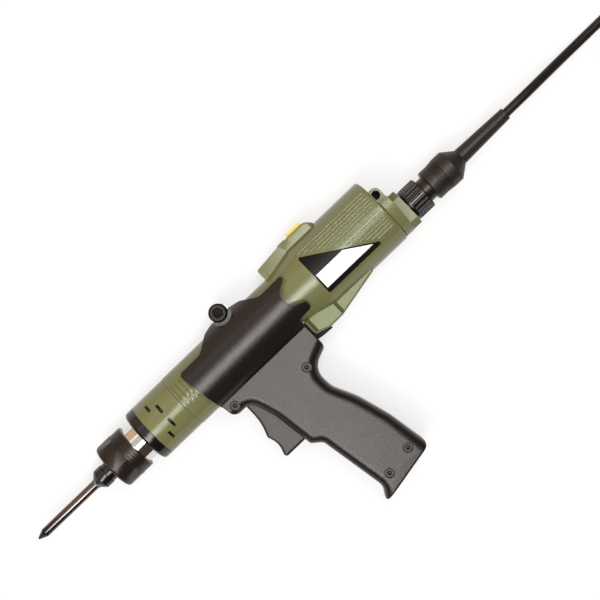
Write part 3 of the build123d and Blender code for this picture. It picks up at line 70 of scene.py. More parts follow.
# Cord: leaves the boot, comes down to the floor and ends in a tied coil outside the picture
cord = {
    "diameter": 6.5,
    "leadPoints": [
        (334.0, -11.0, 26.0),
        (350.0, -11.0, 26.0),
        (369.0, -10.8, 20.6),
        (388.0, -10.6, 12.2),
        (409.0, -10.5, 6.6),
        (435.0, -10.4, 4.6),
        (460.0, -10.4, 4.6),
    ],
    "turns": 6.5,
    "innerRadius": 29.0,
    "pitch": 7.1,
    "climb": 0.25,
    "tail": 13.0,
    "pointsPerTurn": 16,
    "length": 1.806,  # metres
    "splineOrder": 3,
    "splineSteps": 6,
    "roundness": 6,
}


def coilPoints(settings, start):
    # a flat spiral that winds in, climbs one layer while it turns back, and winds out again
    perTurn = settings["pointsPerTurn"]
    turns = np.arange(1, int(settings["turns"] * perTurn)) / perTurn
    past = turns - settings["turns"] / 2
    climb = settings["climb"]
    level = np.clip((past + climb) / (2 * climb), 0.0, 1.0)
    rise = level * level * (3 - 2 * level) * settings["pitch"]
    spread = np.where(np.abs(past) < climb, (past**2 + climb**2) / (2 * climb), np.abs(past))
    radius = settings["innerRadius"] + settings["pitch"] * spread
    outer = settings["innerRadius"] + settings["pitch"] * settings["turns"] / 2
    pull = 0.75 + 0.25 * math.cos(2 * math.pi / perTurn)  # an order 3 spline lies inside its points
    angle = math.pi / 2 - 2 * math.pi * turns
    centre = np.array([start[0] + settings["diameter"], start[1] - outer])
    flat = centre + np.stack([np.cos(angle), np.sin(angle)], 1) * (radius / pull)[:, None]
    wound = np.column_stack([flat, start[2] + rise])
    first = np.array([[start[0] + settings["diameter"], start[1], start[2]]])
    last = np.array([[centre[0], centre[1] - outer, start[2] + settings["pitch"]]])
    tail = last - np.array([[settings["tail"], 0.0, 0.0]])
    return np.concatenate([first, wound, last, tail])


# Strap round the coil: a flat band whose end laps over its start, in place of the plain CAD loop
strap = {
    "middle": (507.04, -62.47, 8.15),
    "halfWide": 15.59,
    "halfHigh": 7.6,
    "halfBand": 6.0,
    "halfThick": 0.5,
    "lap": 0.14,  # shares of the way round from here on
    "lapStart": 0.93,
    "lapClimb": 0.06,
    "endTaper": 0.006,
    "lapGap": 0.05,
    "pathPower": 6,
    "sectionPower": 4,
    "along": 220,
    "around": 28,
}


def gridPiece(name, points, size):  # closed round the second parameter, with a cap at both ends
    rows, columns = size
    index = np.arange(rows * columns).reshape(rows, columns)
    after = np.roll(index, -1, axis=1)
    faces = np.stack([index[:-1], after[:-1], after[1:], index[1:]], 2).reshape(-1, 4).tolist()
    faces += [index[0, ::-1].tolist(), index[-1].tolist()]
    mesh = bpy.data.meshes.new(name)
    mesh.from_pydata(points.tolist(), [], faces)
    mesh.polygons.foreach_set("use_smooth", np.ones(len(faces), bool))
    piece = bpy.data.objects.new(name, mesh)
    bpy.context.scene.collection.objects.link(piece)
    return piece


def roundedPower(wave, power):
    return np.sign(wave) * np.abs(wave) ** power


def makeStrap(settings):
    # path: superellipse |x/a|^6 + |z/b|^6 = 1, from the top round and a little past the top again;
    # section: superellipse of the fourth power, as wide as the band, thin towards both ends
    bend = 2 / settings["pathPower"]
    corner = 2 / settings["sectionPower"]
    along = np.linspace(0.0, 1.0 + settings["lap"], settings["along"])
    turn = (math.pi / 2 - 2 * math.pi * along)[:, None]
    around = np.linspace(0.0, 2 * math.pi, settings["around"], endpoint=False)[None, :]
    wide, high = settings["halfWide"], settings["halfHigh"]
    pathX = wide * roundedPower(np.cos(turn), bend)
    pathZ = high * roundedPower(np.sin(turn), bend)
    slopeX = roundedPower(pathX / wide, settings["pathPower"] - 1) / wide
    slopeZ = roundedPower(pathZ / high, settings["pathPower"] - 1) / high
    slope = np.hypot(slopeX, slopeZ)
    climb = np.clip((along - settings["lapStart"]) / settings["lapClimb"], 0.0, 1.0)[:, None]
    lift = (2 * settings["halfThick"] + settings["lapGap"]) * climb**2 * (3 - 2 * climb)
    ends = np.clip(np.minimum(along, along[-1] - along) / settings["endTaper"], 0.0, 1.0)[:, None]
    thin = settings["halfThick"] * np.sqrt(ends * (2 - ends))
    out = lift + thin * roundedPower(np.sin(around), corner)
    side = settings["halfBand"] * roundedPower(np.cos(around), corner) + 0.0 * turn
    grid = np.stack([pathX + out * slopeX / slope, side, pathZ + out * slopeZ / slope], 2)
    points = toFrame((grid + np.array(settings["middle"])).reshape(-1, 3))
    piece = gridPiece("cordStrap", points, grid.shape[:2])
    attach(piece, "body")
    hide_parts("cord_tie")
    return piece


strapPiece = makeStrap(strap)
print("strap wound")


def makeCord(settings):
    lead = np.array(settings["leadPoints"])
    route = toFrame(np.concatenate([lead, coilPoints(settings, lead[-1])]))
    line = bpy.data.curves.new("supplyCord", "CURVE")
    line.dimensions = "3D"
    spline = line.splines.new("NURBS")
    spline.points.add(len(route) - 1)
    spline.points.foreach_set("co", np.column_stack([route, np.ones(len(route))]).ravel())
    spline.points.foreach_set("radius", np.full(len(route), settings["diameter"] / 2 / perMetre))
    spline.order_u = settings["splineOrder"]
    spline.use_endpoint_u = True
    spline.resolution_u = settings["splineSteps"]
    line.bevel_depth = 1.0  # the points' radius gives the tube its size
    line.bevel_resolution = settings["roundness"]
    line.use_fill_caps = True
    piece = bpy.data.objects.new("supplyCord", line)
    bpy.context.scene.collection.objects.link(piece)
    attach(piece, "body")
    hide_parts("cord_lead", "cord_coil")
    return piece


cordPiece = makeCord(cord)
print("cord laid")

# Smooth shading of the CAD nodes, sharp only at real edges: weld in metres, angle in degrees
shading = {"weld": 2e-6, "sharpAngle": 28.0}


def makeSmoothing(settings):
    tree = bpy.data.node_groups.new("smoothFaces", "GeometryNodeTree")
    tree.interface.new_socket("Geometry", in_out="INPUT", socket_type="NodeSocketGeometry")
    tree.interface.new_socket("Geometry", in_out="OUTPUT", socket_type="NodeSocketGeometry")
    start = tree.nodes.new("NodeGroupInput")
    end = tree.nodes.new("NodeGroupOutput")
    weld = tree.nodes.new("GeometryNodeMergeByDistance")
    weld.inputs["Distance"].default_value = settings["weld"]
    faces = tree.nodes.new("GeometryNodeSetShadeSmooth")
    faces.domain = "FACE"
    angle = tree.nodes.new("GeometryNodeInputMeshEdgeAngle")
    flat = tree.nodes.new("FunctionNodeCompare")
    flat.data_type = "FLOAT"
    flat.operation = "LESS_THAN"
    flat.inputs["B"].default_value = math.radians(settings["sharpAngle"])
    edges = tree.nodes.new("GeometryNodeSetShadeSmooth")
    edges.domain = "EDGE"
    tree.links.new(start.outputs["Geometry"], weld.inputs["Geometry"])
    tree.links.new(weld.outputs["Geometry"], faces.inputs["Geometry"])
    tree.links.new(faces.outputs["Geometry"], edges.inputs["Geometry"])
    tree.links.new(angle.outputs["Unsigned Angle"], flat.inputs["A"])
    tree.links.new(flat.outputs["Result"], edges.inputs["Shade Smooth"])
    tree.links.new(edges.outputs["Geometry"], end.inputs["Geometry"])
    return tree


smoothing = makeSmoothing(shading)
for node in nodes.values():
    node.modifiers.new("smoothFaces", "NODES").node_group = smoothing
print("shading smoothed")


# Shader groups that several finishes share
grainLook = {"fineDetail": 2.0, "fineRoughness": 0.6, "slowDetail": 4.0}
edgeLook = {"samples": 4, "patchScale": 180.0, "patchDetail": 5.0, "contrast": 6.0}


def startGroup(name, inputs, outputs):
    tree = bpy.data.node_groups.new(name, "ShaderNodeTree")
    for label, value in inputs.items():
        socket = tree.interface.new_socket(label, in_out="INPUT", socket_type="NodeSocketFloat")
        socket.default_value = value
    for label, kind in outputs.items():
        tree.interface.new_socket(label, in_out="OUTPUT", socket_type=kind)
    return tree, tree.nodes.new("NodeGroupInput"), tree.nodes.new("NodeGroupOutput")


def addMath(tree, operation, first, second=0.0):
    node = tree.nodes.new("ShaderNodeMath")
    node.operation = operation
    for socket, value in zip(node.inputs, (first, second)):
        if isinstance(value, (int, float)):
            socket.default_value = value
        else:
            tree.links.new(value, socket)
    return node.outputs[0]


def makeGrain(settings):  # moulded grain: fine bumps, and a slow mottle for colour and gloss
    tree, start, end = startGroup(
        "mouldedGrain",
        {"Grain Scale": 2500.0, "Mottle Scale": 60.0},
        {"Height": "NodeSocketFloat", "Mottle": "NodeSocketFloat"},
    )
    place = tree.nodes.new("ShaderNodeTexCoord")
    fine = tree.nodes.new("ShaderNodeTexNoise")
    fine.inputs["Detail"].default_value = settings["fineDetail"]
    fine.inputs["Roughness"].default_value = settings["fineRoughness"]
    slow = tree.nodes.new("ShaderNodeTexNoise")
    slow.inputs["Detail"].default_value = settings["slowDetail"]
    for noise, label in ((fine, "Grain Scale"), (slow, "Mottle Scale")):
        tree.links.new(place.outputs["Object"], noise.inputs["Vector"])
        tree.links.new(start.outputs[label], noise.inputs["Scale"])
    tree.links.new(fine.outputs["Fac"], end.inputs["Height"])
    tree.links.new(slow.outputs["Fac"], end.inputs["Mottle"])
    return tree


def makeEdges(settings):  # rounded edge normals, and a mask that is white along worn edges
    tree, start, end = startGroup(
        "wornEdges",
        {"Radius": 0.0004, "Wear": 1.0},
        {"Normal": "NodeSocketVector", "Mask": "NodeSocketFloat"},
    )
    bevel = tree.nodes.new("ShaderNodeBevel")
    bevel.samples = settings["samples"]
    surface = tree.nodes.new("ShaderNodeNewGeometry")
    match = tree.nodes.new("ShaderNodeVectorMath")
    match.operation = "DOT_PRODUCT"
    place = tree.nodes.new("ShaderNodeTexCoord")
    patches = tree.nodes.new("ShaderNodeTexNoise")
    patches.inputs["Scale"].default_value = settings["patchScale"]
    patches.inputs["Detail"].default_value = settings["patchDetail"]
    tree.links.new(place.outputs["Object"], patches.inputs["Vector"])
    tree.links.new(start.outputs["Radius"], bevel.inputs["Radius"])
    tree.links.new(bevel.outputs["Normal"], match.inputs[0])
    tree.links.new(surface.outputs["Normal"], match.inputs[1])
    turned = addMath(tree, "SUBTRACT", 1.0, match.outputs["Value"])
    edge = addMath(tree, "MULTIPLY", turned, settings["contrast"])
    patchy = addMath(tree, "MULTIPLY", edge, patches.outputs["Fac"])
    worn = addMath(tree, "MULTIPLY", patchy, start.outputs["Wear"])
    tree.links.new(addMath(tree, "MINIMUM", worn, 1.0), end.inputs["Mask"])
    tree.links.new(bevel.outputs["Normal"], end.inputs["Normal"])
    return tree


grainGroup = makeGrain(grainLook)
edgeGroup = makeEdges(edgeLook)
print("shader groups built")

# Finishes: colour and its darker twin, worn edge colour; gloss; grain and mottle as noise scales, depth of
# the grain and radius of the edges in metres, share of wear
finishes = {
    "greenPlastic": {
        "colour": (0.178, 0.174, 0.073), "dark": (0.15, 0.146, 0.059), "worn": (0.3, 0.31, 0.18),
        "specular": 0.56, "tint": (0.9, 1.0, 0.88), "roughness": (0.17, 0.25),
        "grain": 1600.0, "depth": 0.00004, "mottle": 70.0, "edge": 0.0005, "wear": 0.15,
    },
    "gripPlastic": {
        "colour": (0.013, 0.0095, 0.0085), "dark": (0.01, 0.0065, 0.005), "worn": (0.04, 0.036, 0.034),
        "specular": 0.49, "tint": (1.0, 0.955, 0.935), "roughness": (0.27, 0.35),
        "grain": 1400.0, "depth": 0.00012, "mottle": 45.0, "edge": 0.0006, "wear": 0.1,
    },
    "blackPlastic": {
        "colour": (0.015, 0.01, 0.008), "dark": (0.01, 0.0065, 0.005), "worn": (0.05, 0.044, 0.041),
        "specular": 0.46, "tint": (1.0, 0.88, 0.8), "roughness": (0.25, 0.35),
        "grain": 1800.0, "depth": 0.00005, "mottle": 80.0, "edge": 0.0004, "wear": 0.2,
    },
    "blackGloss": {
        "colour": (0.007, 0.005, 0.0045), "dark": (0.005, 0.0035, 0.003), "worn": (0.03, 0.027, 0.026),
        "specular": 0.6, "roughness": (0.13, 0.2),
        "grain": 1800.0, "depth": 0.00002, "mottle": 80.0, "edge": 0.0004, "wear": 0.1,
    },
    "dullBlack": {
        "colour": (0.01, 0.009, 0.009), "dark": (0.007, 0.006, 0.006), "worn": (0.03, 0.028, 0.027),
        "specular": 0.15, "roughness": (0.5, 0.6),
        "grain": 1800.0, "depth": 0.00005, "mottle": 80.0, "edge": 0.0004, "wear": 0.2,
    },
    "blackRubber": {
        "colour": (0.026, 0.0175, 0.0145), "dark": (0.02, 0.0135, 0.011), "worn": (0.03, 0.027, 0.026),
        "specular": 0.36, "roughness": (0.34, 0.46),
        "grain": 2200.0, "depth": 0.00004, "mottle": 50.0, "edge": 0.0005, "wear": 0.2,
    },
    "blackSteel": {
        "colour": (0.05, 0.047, 0.046), "dark": (0.03, 0.029, 0.028), "worn": (0.35, 0.35, 0.35),
        "metallic": 1.0, "roughness": (0.24, 0.36),
        "grain": 2600.0, "depth": 0.00002, "mottle": 120.0, "edge": 0.0003, "wear": 0.6,
    },
    "toolSteel": {
        "colour": (0.2, 0.195, 0.19), "dark": (0.12, 0.116, 0.112), "worn": (0.45, 0.44, 0.43),
        "metallic": 1.0, "roughness": (0.16, 0.26),
        "grain": 1500.0, "depth": 0.00001, "mottle": 90.0, "edge": 0.0003, "wear": 0.5,
    },
    "springSteel": {
        "colour": (0.55, 0.55, 0.56), "dark": (0.42, 0.42, 0.43), "worn": (0.75, 0.75, 0.75),
        "metallic": 1.0, "roughness": (0.26, 0.4),
        "grain": 1500.0, "depth": 0.00001, "mottle": 90.0, "edge": 0.0002, "wear": 0.5,
    },
    "brightChrome": {
        "colour": (0.8, 0.78, 0.75), "dark": (0.72, 0.7, 0.66), "worn": (0.85, 0.85, 0.83),
        "metallic": 1.0, "roughness": (0.05, 0.1),
        "grain": 900.0, "depth": 0.000005, "mottle": 60.0, "edge": 0.0003, "wear": 0.3,
    },
    "yellowPlastic": {
        "colour": (0.9, 0.62, 0.04), "dark": (0.8, 0.54, 0.03), "worn": (0.92, 0.7, 0.16),
        "specular": 0.4, "roughness": (0.3, 0.42),
        "grain": 1800.0, "depth": 0.00004, "mottle": 90.0, "edge": 0.0004, "wear": 0.4,
    },
    "plateFilm": {
        "colour": (0.009, 0.0065, 0.0055), "dark": (0.007, 0.005, 0.0045), "worn": (0.05, 0.05, 0.05),
        "specular": 0.15, "roughness": (0.36, 0.46),
        "grain": 2400.0, "depth": 0.00001, "mottle": 60.0, "edge": 0.0002, "wear": 0.2,
    },
    "boardLaminate": {
        "colour": (0.02, 0.14, 0.06), "dark": (0.015, 0.1, 0.045), "worn": (0.3, 0.35, 0.2),
        "specular": 0.5, "roughness": (0.35, 0.5),
        "grain": 1800.0, "depth": 0.00003, "mottle": 200.0, "edge": 0.0002, "wear": 0.4,
    },
    "bareCopper": {
        "colour": (0.72, 0.36, 0.2), "dark": (0.5, 0.24, 0.13), "worn": (0.85, 0.5, 0.32),
        "metallic": 1.0, "roughness": (0.28, 0.42),
        "grain": 2400.0, "depth": 0.00005, "mottle": 150.0, "edge": 0.0002, "wear": 0.5,
    },
    "sinteredBronze": {
        "colour": (0.52, 0.36, 0.17), "dark": (0.38, 0.25, 0.11), "worn": (0.7, 0.5, 0.28),
        "metallic": 1.0, "roughness": (0.35, 0.5),
        "grain": 2600.0, "depth": 0.00005, "mottle": 150.0, "edge": 0.0002, "wear": 0.5,
    },
    "greyFerrite": {
        "colour": (0.06, 0.06, 0.065), "dark": (0.04, 0.04, 0.045), "worn": (0.15, 0.15, 0.16),
        "specular": 0.5, "roughness": (0.5, 0.65),
        "grain": 2600.0, "depth": 0.00005, "mottle": 150.0, "edge": 0.0003, "wear": 0.6,
    },
}
finishes["coverPlastic"] = dict(finishes["greenPlastic"], specular=0.38)
finishes["leverPlastic"] = dict(finishes["greenPlastic"], specular=0.34, tint=(0.8, 1.0, 0.82))
finishes["cordRubber"] = dict(finishes["blackRubber"], colour=(0.01, 0.0075, 0.0065), specular=0.3)
finishes["bitSteel"] = dict(
    finishes["toolSteel"], colour=(0.17, 0.148, 0.138), dark=(0.14, 0.12, 0.11),
    roughness=(0.16, 0.22), wear=0.1,
)
finishes["boltSteel"] = dict(
    finishes["blackSteel"], colour=(0.022, 0.02, 0.018), dark=(0.016, 0.014, 0.013), wear=0.5,
)
finishes["triggerPlastic"] = dict(finishes["gripPlastic"], colour=(0.017, 0.0115, 0.0095), specular=0.44)
finishes["screwSteel"] = dict(
    finishes["blackSteel"], colour=(0.034, 0.033, 0.032), dark=(0.024, 0.023, 0.022), wear=0.2,
)

# Printed panel of the rating plate: left, top and bottom edges, and the slanted edge as station at a height
panel = {
    "left": 161.9, "top": -1.28, "bottom": -12.8, "slantAt": 16.3, "slant": 158.9, "lean": 1.5706,
    "soft": 0.12, "colour": (0.92, 0.91, 0.88), "roughness": 0.4,
}

# Painted shade in round hollows: the ear's hole, the bolt's and the screws' sockets are painted dark inside,
# with a pin left in the middle; the ear hole's dark disc also reaches the face round it
paintedRoundShades = {
    "earHole": {"middles": [(229.6, 10.1)], "radius": 3.15, "pin": 0.0, "reach": 30.0, "soft": 0.2},
    "boltSocket": {"middles": [(96.2, 26.4)], "radius": 3.75, "pin": 0.0, "reach": 19.8, "soft": 0.2},
    "screwSockets": {
        "middles": [(60.8, -27.2), (114.2, -42.0), (105.1, -133.0), (126.3, -129.2)],
        "radius": 1.6, "pin": 0.6, "reach": 20.0, "soft": 0.15,
    },
}
# painted shade: a near-black colour and full roughness inside the round hollows
paintedHollowShade = {"colour": (0.014, 0.01, 0.008), "roughness": 1.0}
farAway = 1000.0  # farther from every round mark than any point of the tool

# Saddle of the grip above a height, smoother than the handle under it
saddle = {"height": -21.2, "soft": 0.6, "colour": (0.011, 0.008, 0.0075), "roughness": 0.17}

# Tip of the bit, darker in front of a station
bitTip = {"station": -94.5, "soft": 2.5, "colour": (0.03, 0.026, 0.024), "roughness": 0.3, "metallic": 1.0}


def addPlace(tree):  # station, height and distance from the middle plane, in millimetres
    place = tree.nodes.new("ShaderNodeTexCoord")
    apart = tree.nodes.new("ShaderNodeSeparateXYZ")
    tree.links.new(place.outputs["Object"], apart.inputs[0])
    found = []
    for axis, shift in zip("XYZ", axisPlace.values()):
        inMillimetres = addMath(tree, "MULTIPLY", apart.outputs[axis], perMetre)
        found.append(addMath(tree, "SUBTRACT", inMillimetres, shift))
    return found


def addInside(tree, distances, soft):  # 1 where every distance is above 0, with a soft edge
    inside = distances[0]
    for distance in distances[1:]:
        inside = addMath(tree, "MINIMUM", inside, distance)
    edge = tree.nodes.new("ShaderNodeMapRange")
    edge.inputs["From Min"].default_value = -soft / 2
    edge.inputs["From Max"].default_value = soft / 2
    tree.links.new(inside, edge.inputs["Value"])
    return edge.outputs["Result"]


def makePanelMask(settings):
    tree, _, end = startGroup("platePanel", {}, {"Mask": "NodeSocketFloat"})
    station, height, _ = addPlace(tree)
    down = addMath(tree, "SUBTRACT", settings["slantAt"], height)
    slant = addMath(tree, "ADD", addMath(tree, "MULTIPLY", down, settings["lean"]), settings["slant"])
    distances = [
        addMath(tree, "SUBTRACT", station, settings["left"]),
        addMath(tree, "SUBTRACT", settings["top"], height),
        addMath(tree, "SUBTRACT", height, settings["bottom"]),
        addMath(tree, "SUBTRACT", slant, station),
    ]
    tree.links.new(addInside(tree, distances, settings["soft"]), end.inputs["Mask"])
    return tree


# mask of painted shade: inside the radius round each middle, outside the pin, within reach of the middle
# plane
def makeRoundShadeMask(name, settings):
    tree, _, end = startGroup(name, {}, {"Mask": "NodeSocketFloat"})
    station, height, level = addPlace(tree)
    away = farAway
    for middleStation, middleHeight in settings["middles"]:
        along = addMath(tree, "SUBTRACT", station, middleStation)
        up = addMath(tree, "SUBTRACT", height, middleHeight)
        alongSquare = addMath(tree, "MULTIPLY", along, along)
        squares = addMath(tree, "ADD", alongSquare, addMath(tree, "MULTIPLY", up, up))
        away = addMath(tree, "MINIMUM", away, addMath(tree, "SQRT", squares))
    distances = [
        addMath(tree, "SUBTRACT", settings["radius"], away),
        addMath(tree, "SUBTRACT", away, settings["pin"]),
        addMath(tree, "SUBTRACT", settings["reach"], addMath(tree, "ABSOLUTE", level)),
    ]
    tree.links.new(addInside(tree, distances, settings["soft"]), end.inputs["Mask"])
    return tree


def makeTipMask(settings):
    tree, _, end = startGroup("bitTip", {}, {"Mask": "NodeSocketFloat"})
    station, _, _ = addPlace(tree)
    past = addMath(tree, "SUBTRACT", settings["station"], station)
    tree.links.new(addInside(tree, [past], settings["soft"]), end.inputs["Mask"])
    return tree


def makeSaddleMask(settings):
    tree, _, end = startGroup("saddleZone", {}, {"Mask": "NodeSocketFloat"})
    _, height, _ = addPlace(tree)
    above = addMath(tree, "SUBTRACT", height, settings["height"])
    tree.links.new(addInside(tree, [above], settings["soft"]), end.inputs["Mask"])
    return tree


def addMix(tree, factor, first, second):
    node = tree.nodes.new("ShaderNodeMix")
    node.data_type = "RGBA"
    tree.links.new(factor, node.inputs["Factor"])
    for socket, value in ((node.inputs["A"], first), (node.inputs["B"], second)):
        if isinstance(value, tuple):
            socket.default_value = (*value, 1.0)
        else:
            tree.links.new(value, socket)
    return node.outputs["Result"]


def makeFinish(name, settings, maskGroup=None, markAndShade=None):
    material = bpy.data.materials.new(name)
    material.use_nodes = True
    tree = material.node_tree
    shader = tree.nodes["Principled BSDF"]
    shader.inputs["Metallic"].default_value = settings.get("metallic", 0.0)
    shader.inputs["Specular IOR Level"].default_value = settings.get("specular", 0.5)
    shader.inputs["Specular Tint"].default_value = (*settings.get("tint", (1.0, 1.0, 1.0)), 1.0)
    grain = tree.nodes.new("ShaderNodeGroup")
    grain.node_tree = grainGroup
    grain.inputs["Grain Scale"].default_value = settings["grain"]
    grain.inputs["Mottle Scale"].default_value = settings["mottle"]
    edges = tree.nodes.new("ShaderNodeGroup")
    edges.node_tree = edgeGroup
    edges.inputs["Radius"].default_value = settings["edge"]
    edges.inputs["Wear"].default_value = settings["wear"]
    base = addMix(tree, grain.outputs["Mottle"], settings["dark"], settings["colour"])
    shown = addMix(tree, edges.outputs["Mask"], base, settings["worn"])
    # each zone mixes in its own colour: the printed panel, the smoother saddle, the dark bit tip, and painted
    # shade inside the round hollows
    if maskGroup:
        mask = tree.nodes.new("ShaderNodeGroup")
        mask.node_tree = maskGroup
        shown = addMix(tree, mask.outputs["Mask"], shown, markAndShade["colour"])
        metal = tree.nodes.new("ShaderNodeMapRange")
        metal.inputs["To Min"].default_value = settings.get("metallic", 0.0)
        metal.inputs["To Max"].default_value = markAndShade.get("metallic", 0.0)
        tree.links.new(mask.outputs["Mask"], metal.inputs["Value"])
        tree.links.new(metal.outputs["Result"], shader.inputs["Metallic"])
    tree.links.new(shown, shader.inputs["Base Color"])
    gloss = tree.nodes.new("ShaderNodeMapRange")
    gloss.inputs["To Min"].default_value = settings["roughness"][0]
    gloss.inputs["To Max"].default_value = settings["roughness"][1]
    tree.links.new(grain.outputs["Mottle"], gloss.inputs["Value"])
    roughness = gloss.outputs["Result"]
    if maskGroup:
        blend = tree.nodes.new("ShaderNodeMix")
        blend.inputs["B"].default_value = markAndShade["roughness"]
        tree.links.new(mask.outputs["Mask"], blend.inputs["Factor"])
        tree.links.new(roughness, blend.inputs["A"])
        roughness = blend.outputs["Result"]
    tree.links.new(roughness, shader.inputs["Roughness"])
    bump = tree.nodes.new("ShaderNodeBump")
    bump.inputs["Distance"].default_value = settings["depth"]
    tree.links.new(grain.outputs["Height"], bump.inputs["Height"])
    tree.links.new(edges.outputs["Normal"], bump.inputs["Normal"])
    tree.links.new(bump.outputs["Normal"], shader.inputs["Normal"])
    return material


roundShadeMasks = {name: makeRoundShadeMask(name, settings) for name, settings in paintedRoundShades.items()}
# Zones with a colour of their own: printed panel, smoother saddle, dark bit tip; and painted shade inside the
# ear hole and the sockets
marksAndShades = {
    "gripPlastic": (makeSaddleMask(saddle), saddle),
    "plateFilm": (makePanelMask(panel), panel),
    "coverPlastic": (roundShadeMasks["earHole"], paintedHollowShade),
    "boltSteel": (roundShadeMasks["boltSocket"], paintedHollowShade),
    "screwSteel": (roundShadeMasks["screwSockets"], paintedHollowShade),
    "bitSteel": (makeTipMask(bitTip), bitTip),
}
materials = {name: makeFinish(name, settings, *marksAndShades.get(name, ())) for name, settings in finishes.items()}

# Which node wears which finish
wearing = {
    "greenPlastic": ["nose_housing", "left_housing", "right_housing"],
    "leverPlastic": ["start_lever"],
    "coverPlastic": ["rear_cover"],
    "gripPlastic": ["left_grip", "right_grip"],
    "triggerPlastic": ["trigger"],
    "blackPlastic": [
        "torque_nut", "plug_body", "brush_holder", "direction_switch", "start_switch", "start_pin",
        "ring_gear",
    ],
    "blackGloss": ["front_ring", "coupling_ring", "chuck_sleeve"],
    "dullBlack": ["trigger_link", "gear_cover"],
    "blackRubber": ["plug_boot", "cord_tie", "far_plug"],
    "cordRubber": ["cord_lead", "cord_coil"],
    "blackSteel": ["supply_socket", "motor_plate", "motor_can"],
    "boltSteel": ["clamp_bolt"],
    "screwSteel": ["grip_screws"],
    "bitSteel": ["bit"],
    "toolSteel": [
        "spindle", "planet_carrier", "planet_gear_1", "planet_gear_2", "planet_gear_3",
        "rotor_shaft", "armature_core", "clutch_pins",
    ],
    "springSteel": [
        "chuck_spring", "chuck_balls", "thrust_washer", "clutch_spring", "clutch_washer", "housing_screws",
        "lever_pin", "clamp_nut", "trigger_pin", "trigger_spring", "link_pin",
    ],
    "brightChrome": ["clutch_sleeve"],
    "yellowPlastic": ["direction_slider"],
    "plateFilm": ["rating_plate"],
    "boardLaminate": ["circuit_board"],
    "bareCopper": ["armature_windings", "commutator"],
    "sinteredBronze": ["spindle_bearings", "motor_bearings"],
    "greyFerrite": ["motor_magnets", "carbon_brushes"],
}
for finish, dressed in wearing.items():
    for name in dressed:
        mesh = nodes[name].data
        mesh.materials.clear()
        mesh.materials.append(materials[finish])
cordPiece.data.materials.append(materials["cordRubber"])
strapPiece.data.materials.append(materials["blackRubber"])
print("finishes on", sum(len(dressed) for dressed in wearing.values()), "nodes")

# Stage, in metres: a pale floor that the camera sees as white with the object's shadow, a strip light
# overhead and a box light in front under a dim ceiling, a warm wall of light away from the grip, and a
# dark surround
stage = {
    "floor": 4.0, "floorColour": (0.45, 0.42, 0.39), "roughness": 0.9,
    "seenColour": (0.95, 0.95, 0.95), "inMetal": 0.9,
    "whiteness": 0.65, "whiter": (0.45, 1.0),  # the floor is plain white from the second distance on
}
lights = {
    "strip": {
        "place": (-0.05, -0.105, 1.35), "size": (0.4, 1.8), "power": 17.6, "turn": (0.0, 0.0, -56.0),
        "colour": (0.98, 1.0, 0.99),
    },
    "front": {
        "place": (-0.78, -0.17, 1.3), "size": (0.5, 0.45), "power": 6.5, "turn": (0.0, -25.0, 0.0),
        "colour": (1.0, 0.98, 1.0),
    },
    "ceiling": {
        "place": (0.0, 0.5, 1.4), "size": (2.4, 1.2), "power": 5.5, "turn": (-20.0, 0.0, 0.0),
        "colour": (0.97, 1.0, 1.0),
    },
    "warmSide": {
        "place": (0.02, 1.0, 0.62), "size": (1.5, 1.2), "power": 3.7, "turn": (-62.0, 0.0, 0.0),
        "colour": (1.0, 0.71, 0.48),
    },
}
surround = {"colour": (1.0, 0.76, 0.62), "seenColour": (1.0, 1.0, 1.0), "strength": 0.07}


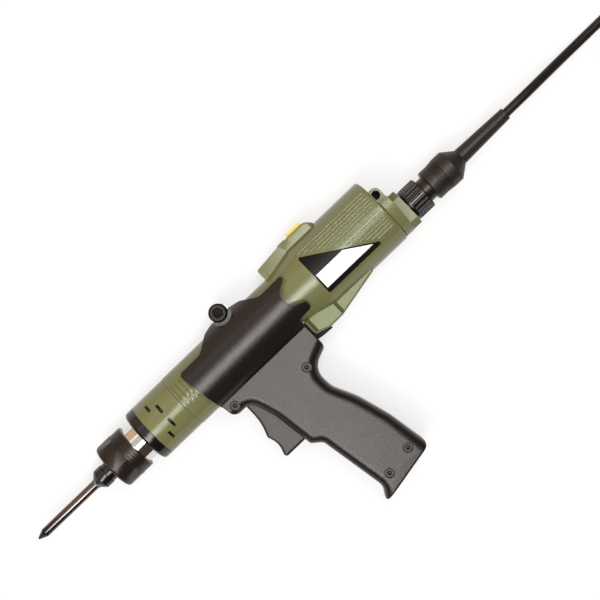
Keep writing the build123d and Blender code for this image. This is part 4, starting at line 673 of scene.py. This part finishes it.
def makeFloor(settings):
    half = settings["floor"] / 2
    mesh = bpy.data.meshes.new("floor")
    corners = np.array([[-half, -half, 0.0], [half, -half, 0.0], [half, half, 0.0], [-half, half, 0.0]])
    mesh.from_pydata(corners.tolist(), [], [[0, 1, 2, 3]])
    floor = bpy.data.objects.new("floor", mesh)
    bpy.context.scene.collection.objects.link(floor)
    material = bpy.data.materials.new("paleFloor")
    material.use_nodes = True
    tree = material.node_tree
    shader = tree.nodes["Principled BSDF"]
    shader.inputs["Roughness"].default_value = settings["roughness"]
    glow = tree.nodes.new("ShaderNodeEmission")
    path = tree.nodes.new("ShaderNodeLightPath")
    mix = tree.nodes.new("ShaderNodeMixShader")
    pale = addMix(tree, path.outputs["Is Camera Ray"], settings["floorColour"], settings["seenColour"])
    tree.links.new(pale, shader.inputs["Base Color"])
    glossy, through = path.outputs["Is Glossy Ray"], path.outputs["Is Transmission Ray"]
    mirrored = addMath(tree, "MULTIPLY", addMath(tree, "MAXIMUM", glossy, through), settings["inMetal"])
    place = tree.nodes.new("ShaderNodeTexCoord")
    away = tree.nodes.new("ShaderNodeVectorMath")
    away.operation = "LENGTH"
    tree.links.new(place.outputs["Object"], away.inputs[0])
    fade = tree.nodes.new("ShaderNodeMapRange")
    fade.inputs["From Min"].default_value = settings["whiter"][0]
    fade.inputs["From Max"].default_value = settings["whiter"][1]
    fade.inputs["To Min"].default_value = settings["whiteness"]
    tree.links.new(away.outputs["Value"], fade.inputs["Value"])
    direct = addMath(tree, "MULTIPLY", path.outputs["Is Camera Ray"], fade.outputs["Result"])
    tree.links.new(addMath(tree, "MAXIMUM", direct, mirrored), mix.inputs[0])
    tree.links.new(shader.outputs[0], mix.inputs[1])
    tree.links.new(glow.outputs[0], mix.inputs[2])
    tree.links.new(mix.outputs[0], tree.nodes["Material Output"].inputs["Surface"])
    mesh.materials.append(material)


def makeLight(name, settings):
    lamp = bpy.data.lights.new(name, "AREA")
    lamp.shape = "RECTANGLE"
    lamp.size = settings["size"][0]
    lamp.size_y = settings["size"][1]
    lamp.energy = settings["power"]
    lamp.color = settings["colour"]
    holder = bpy.data.objects.new(name, lamp)
    holder.location = settings["place"]
    holder.rotation_euler = [math.radians(angle) for angle in settings["turn"]]
    holder.visible_camera = False
    bpy.context.scene.collection.objects.link(holder)


def makeSurround(settings):  # dim and warm for the object, plain white for the camera
    world = bpy.data.worlds.new("surround")
    bpy.context.scene.world = world
    world.use_nodes = True
    tree = world.node_tree
    shade = tree.nodes["Background"]
    path = tree.nodes.new("ShaderNodeLightPath")
    direct, through = path.outputs["Is Camera Ray"], path.outputs["Is Transmission Ray"]
    seen = addMath(tree, "MAXIMUM", direct, through)
    tree.links.new(addMix(tree, seen, settings["colour"], settings["seenColour"]), shade.inputs["Color"])
    tree.links.new(addMath(tree, "MAXIMUM", seen, settings["strength"]), shade.inputs["Strength"])


makeFloor(stage)
for name, settings in lights.items():
    makeLight(name, settings)
makeSurround(surround)
bpy.context.scene.view_settings.view_transform = "Standard"
print("stage lit")

bpy.context.view_layer.update()
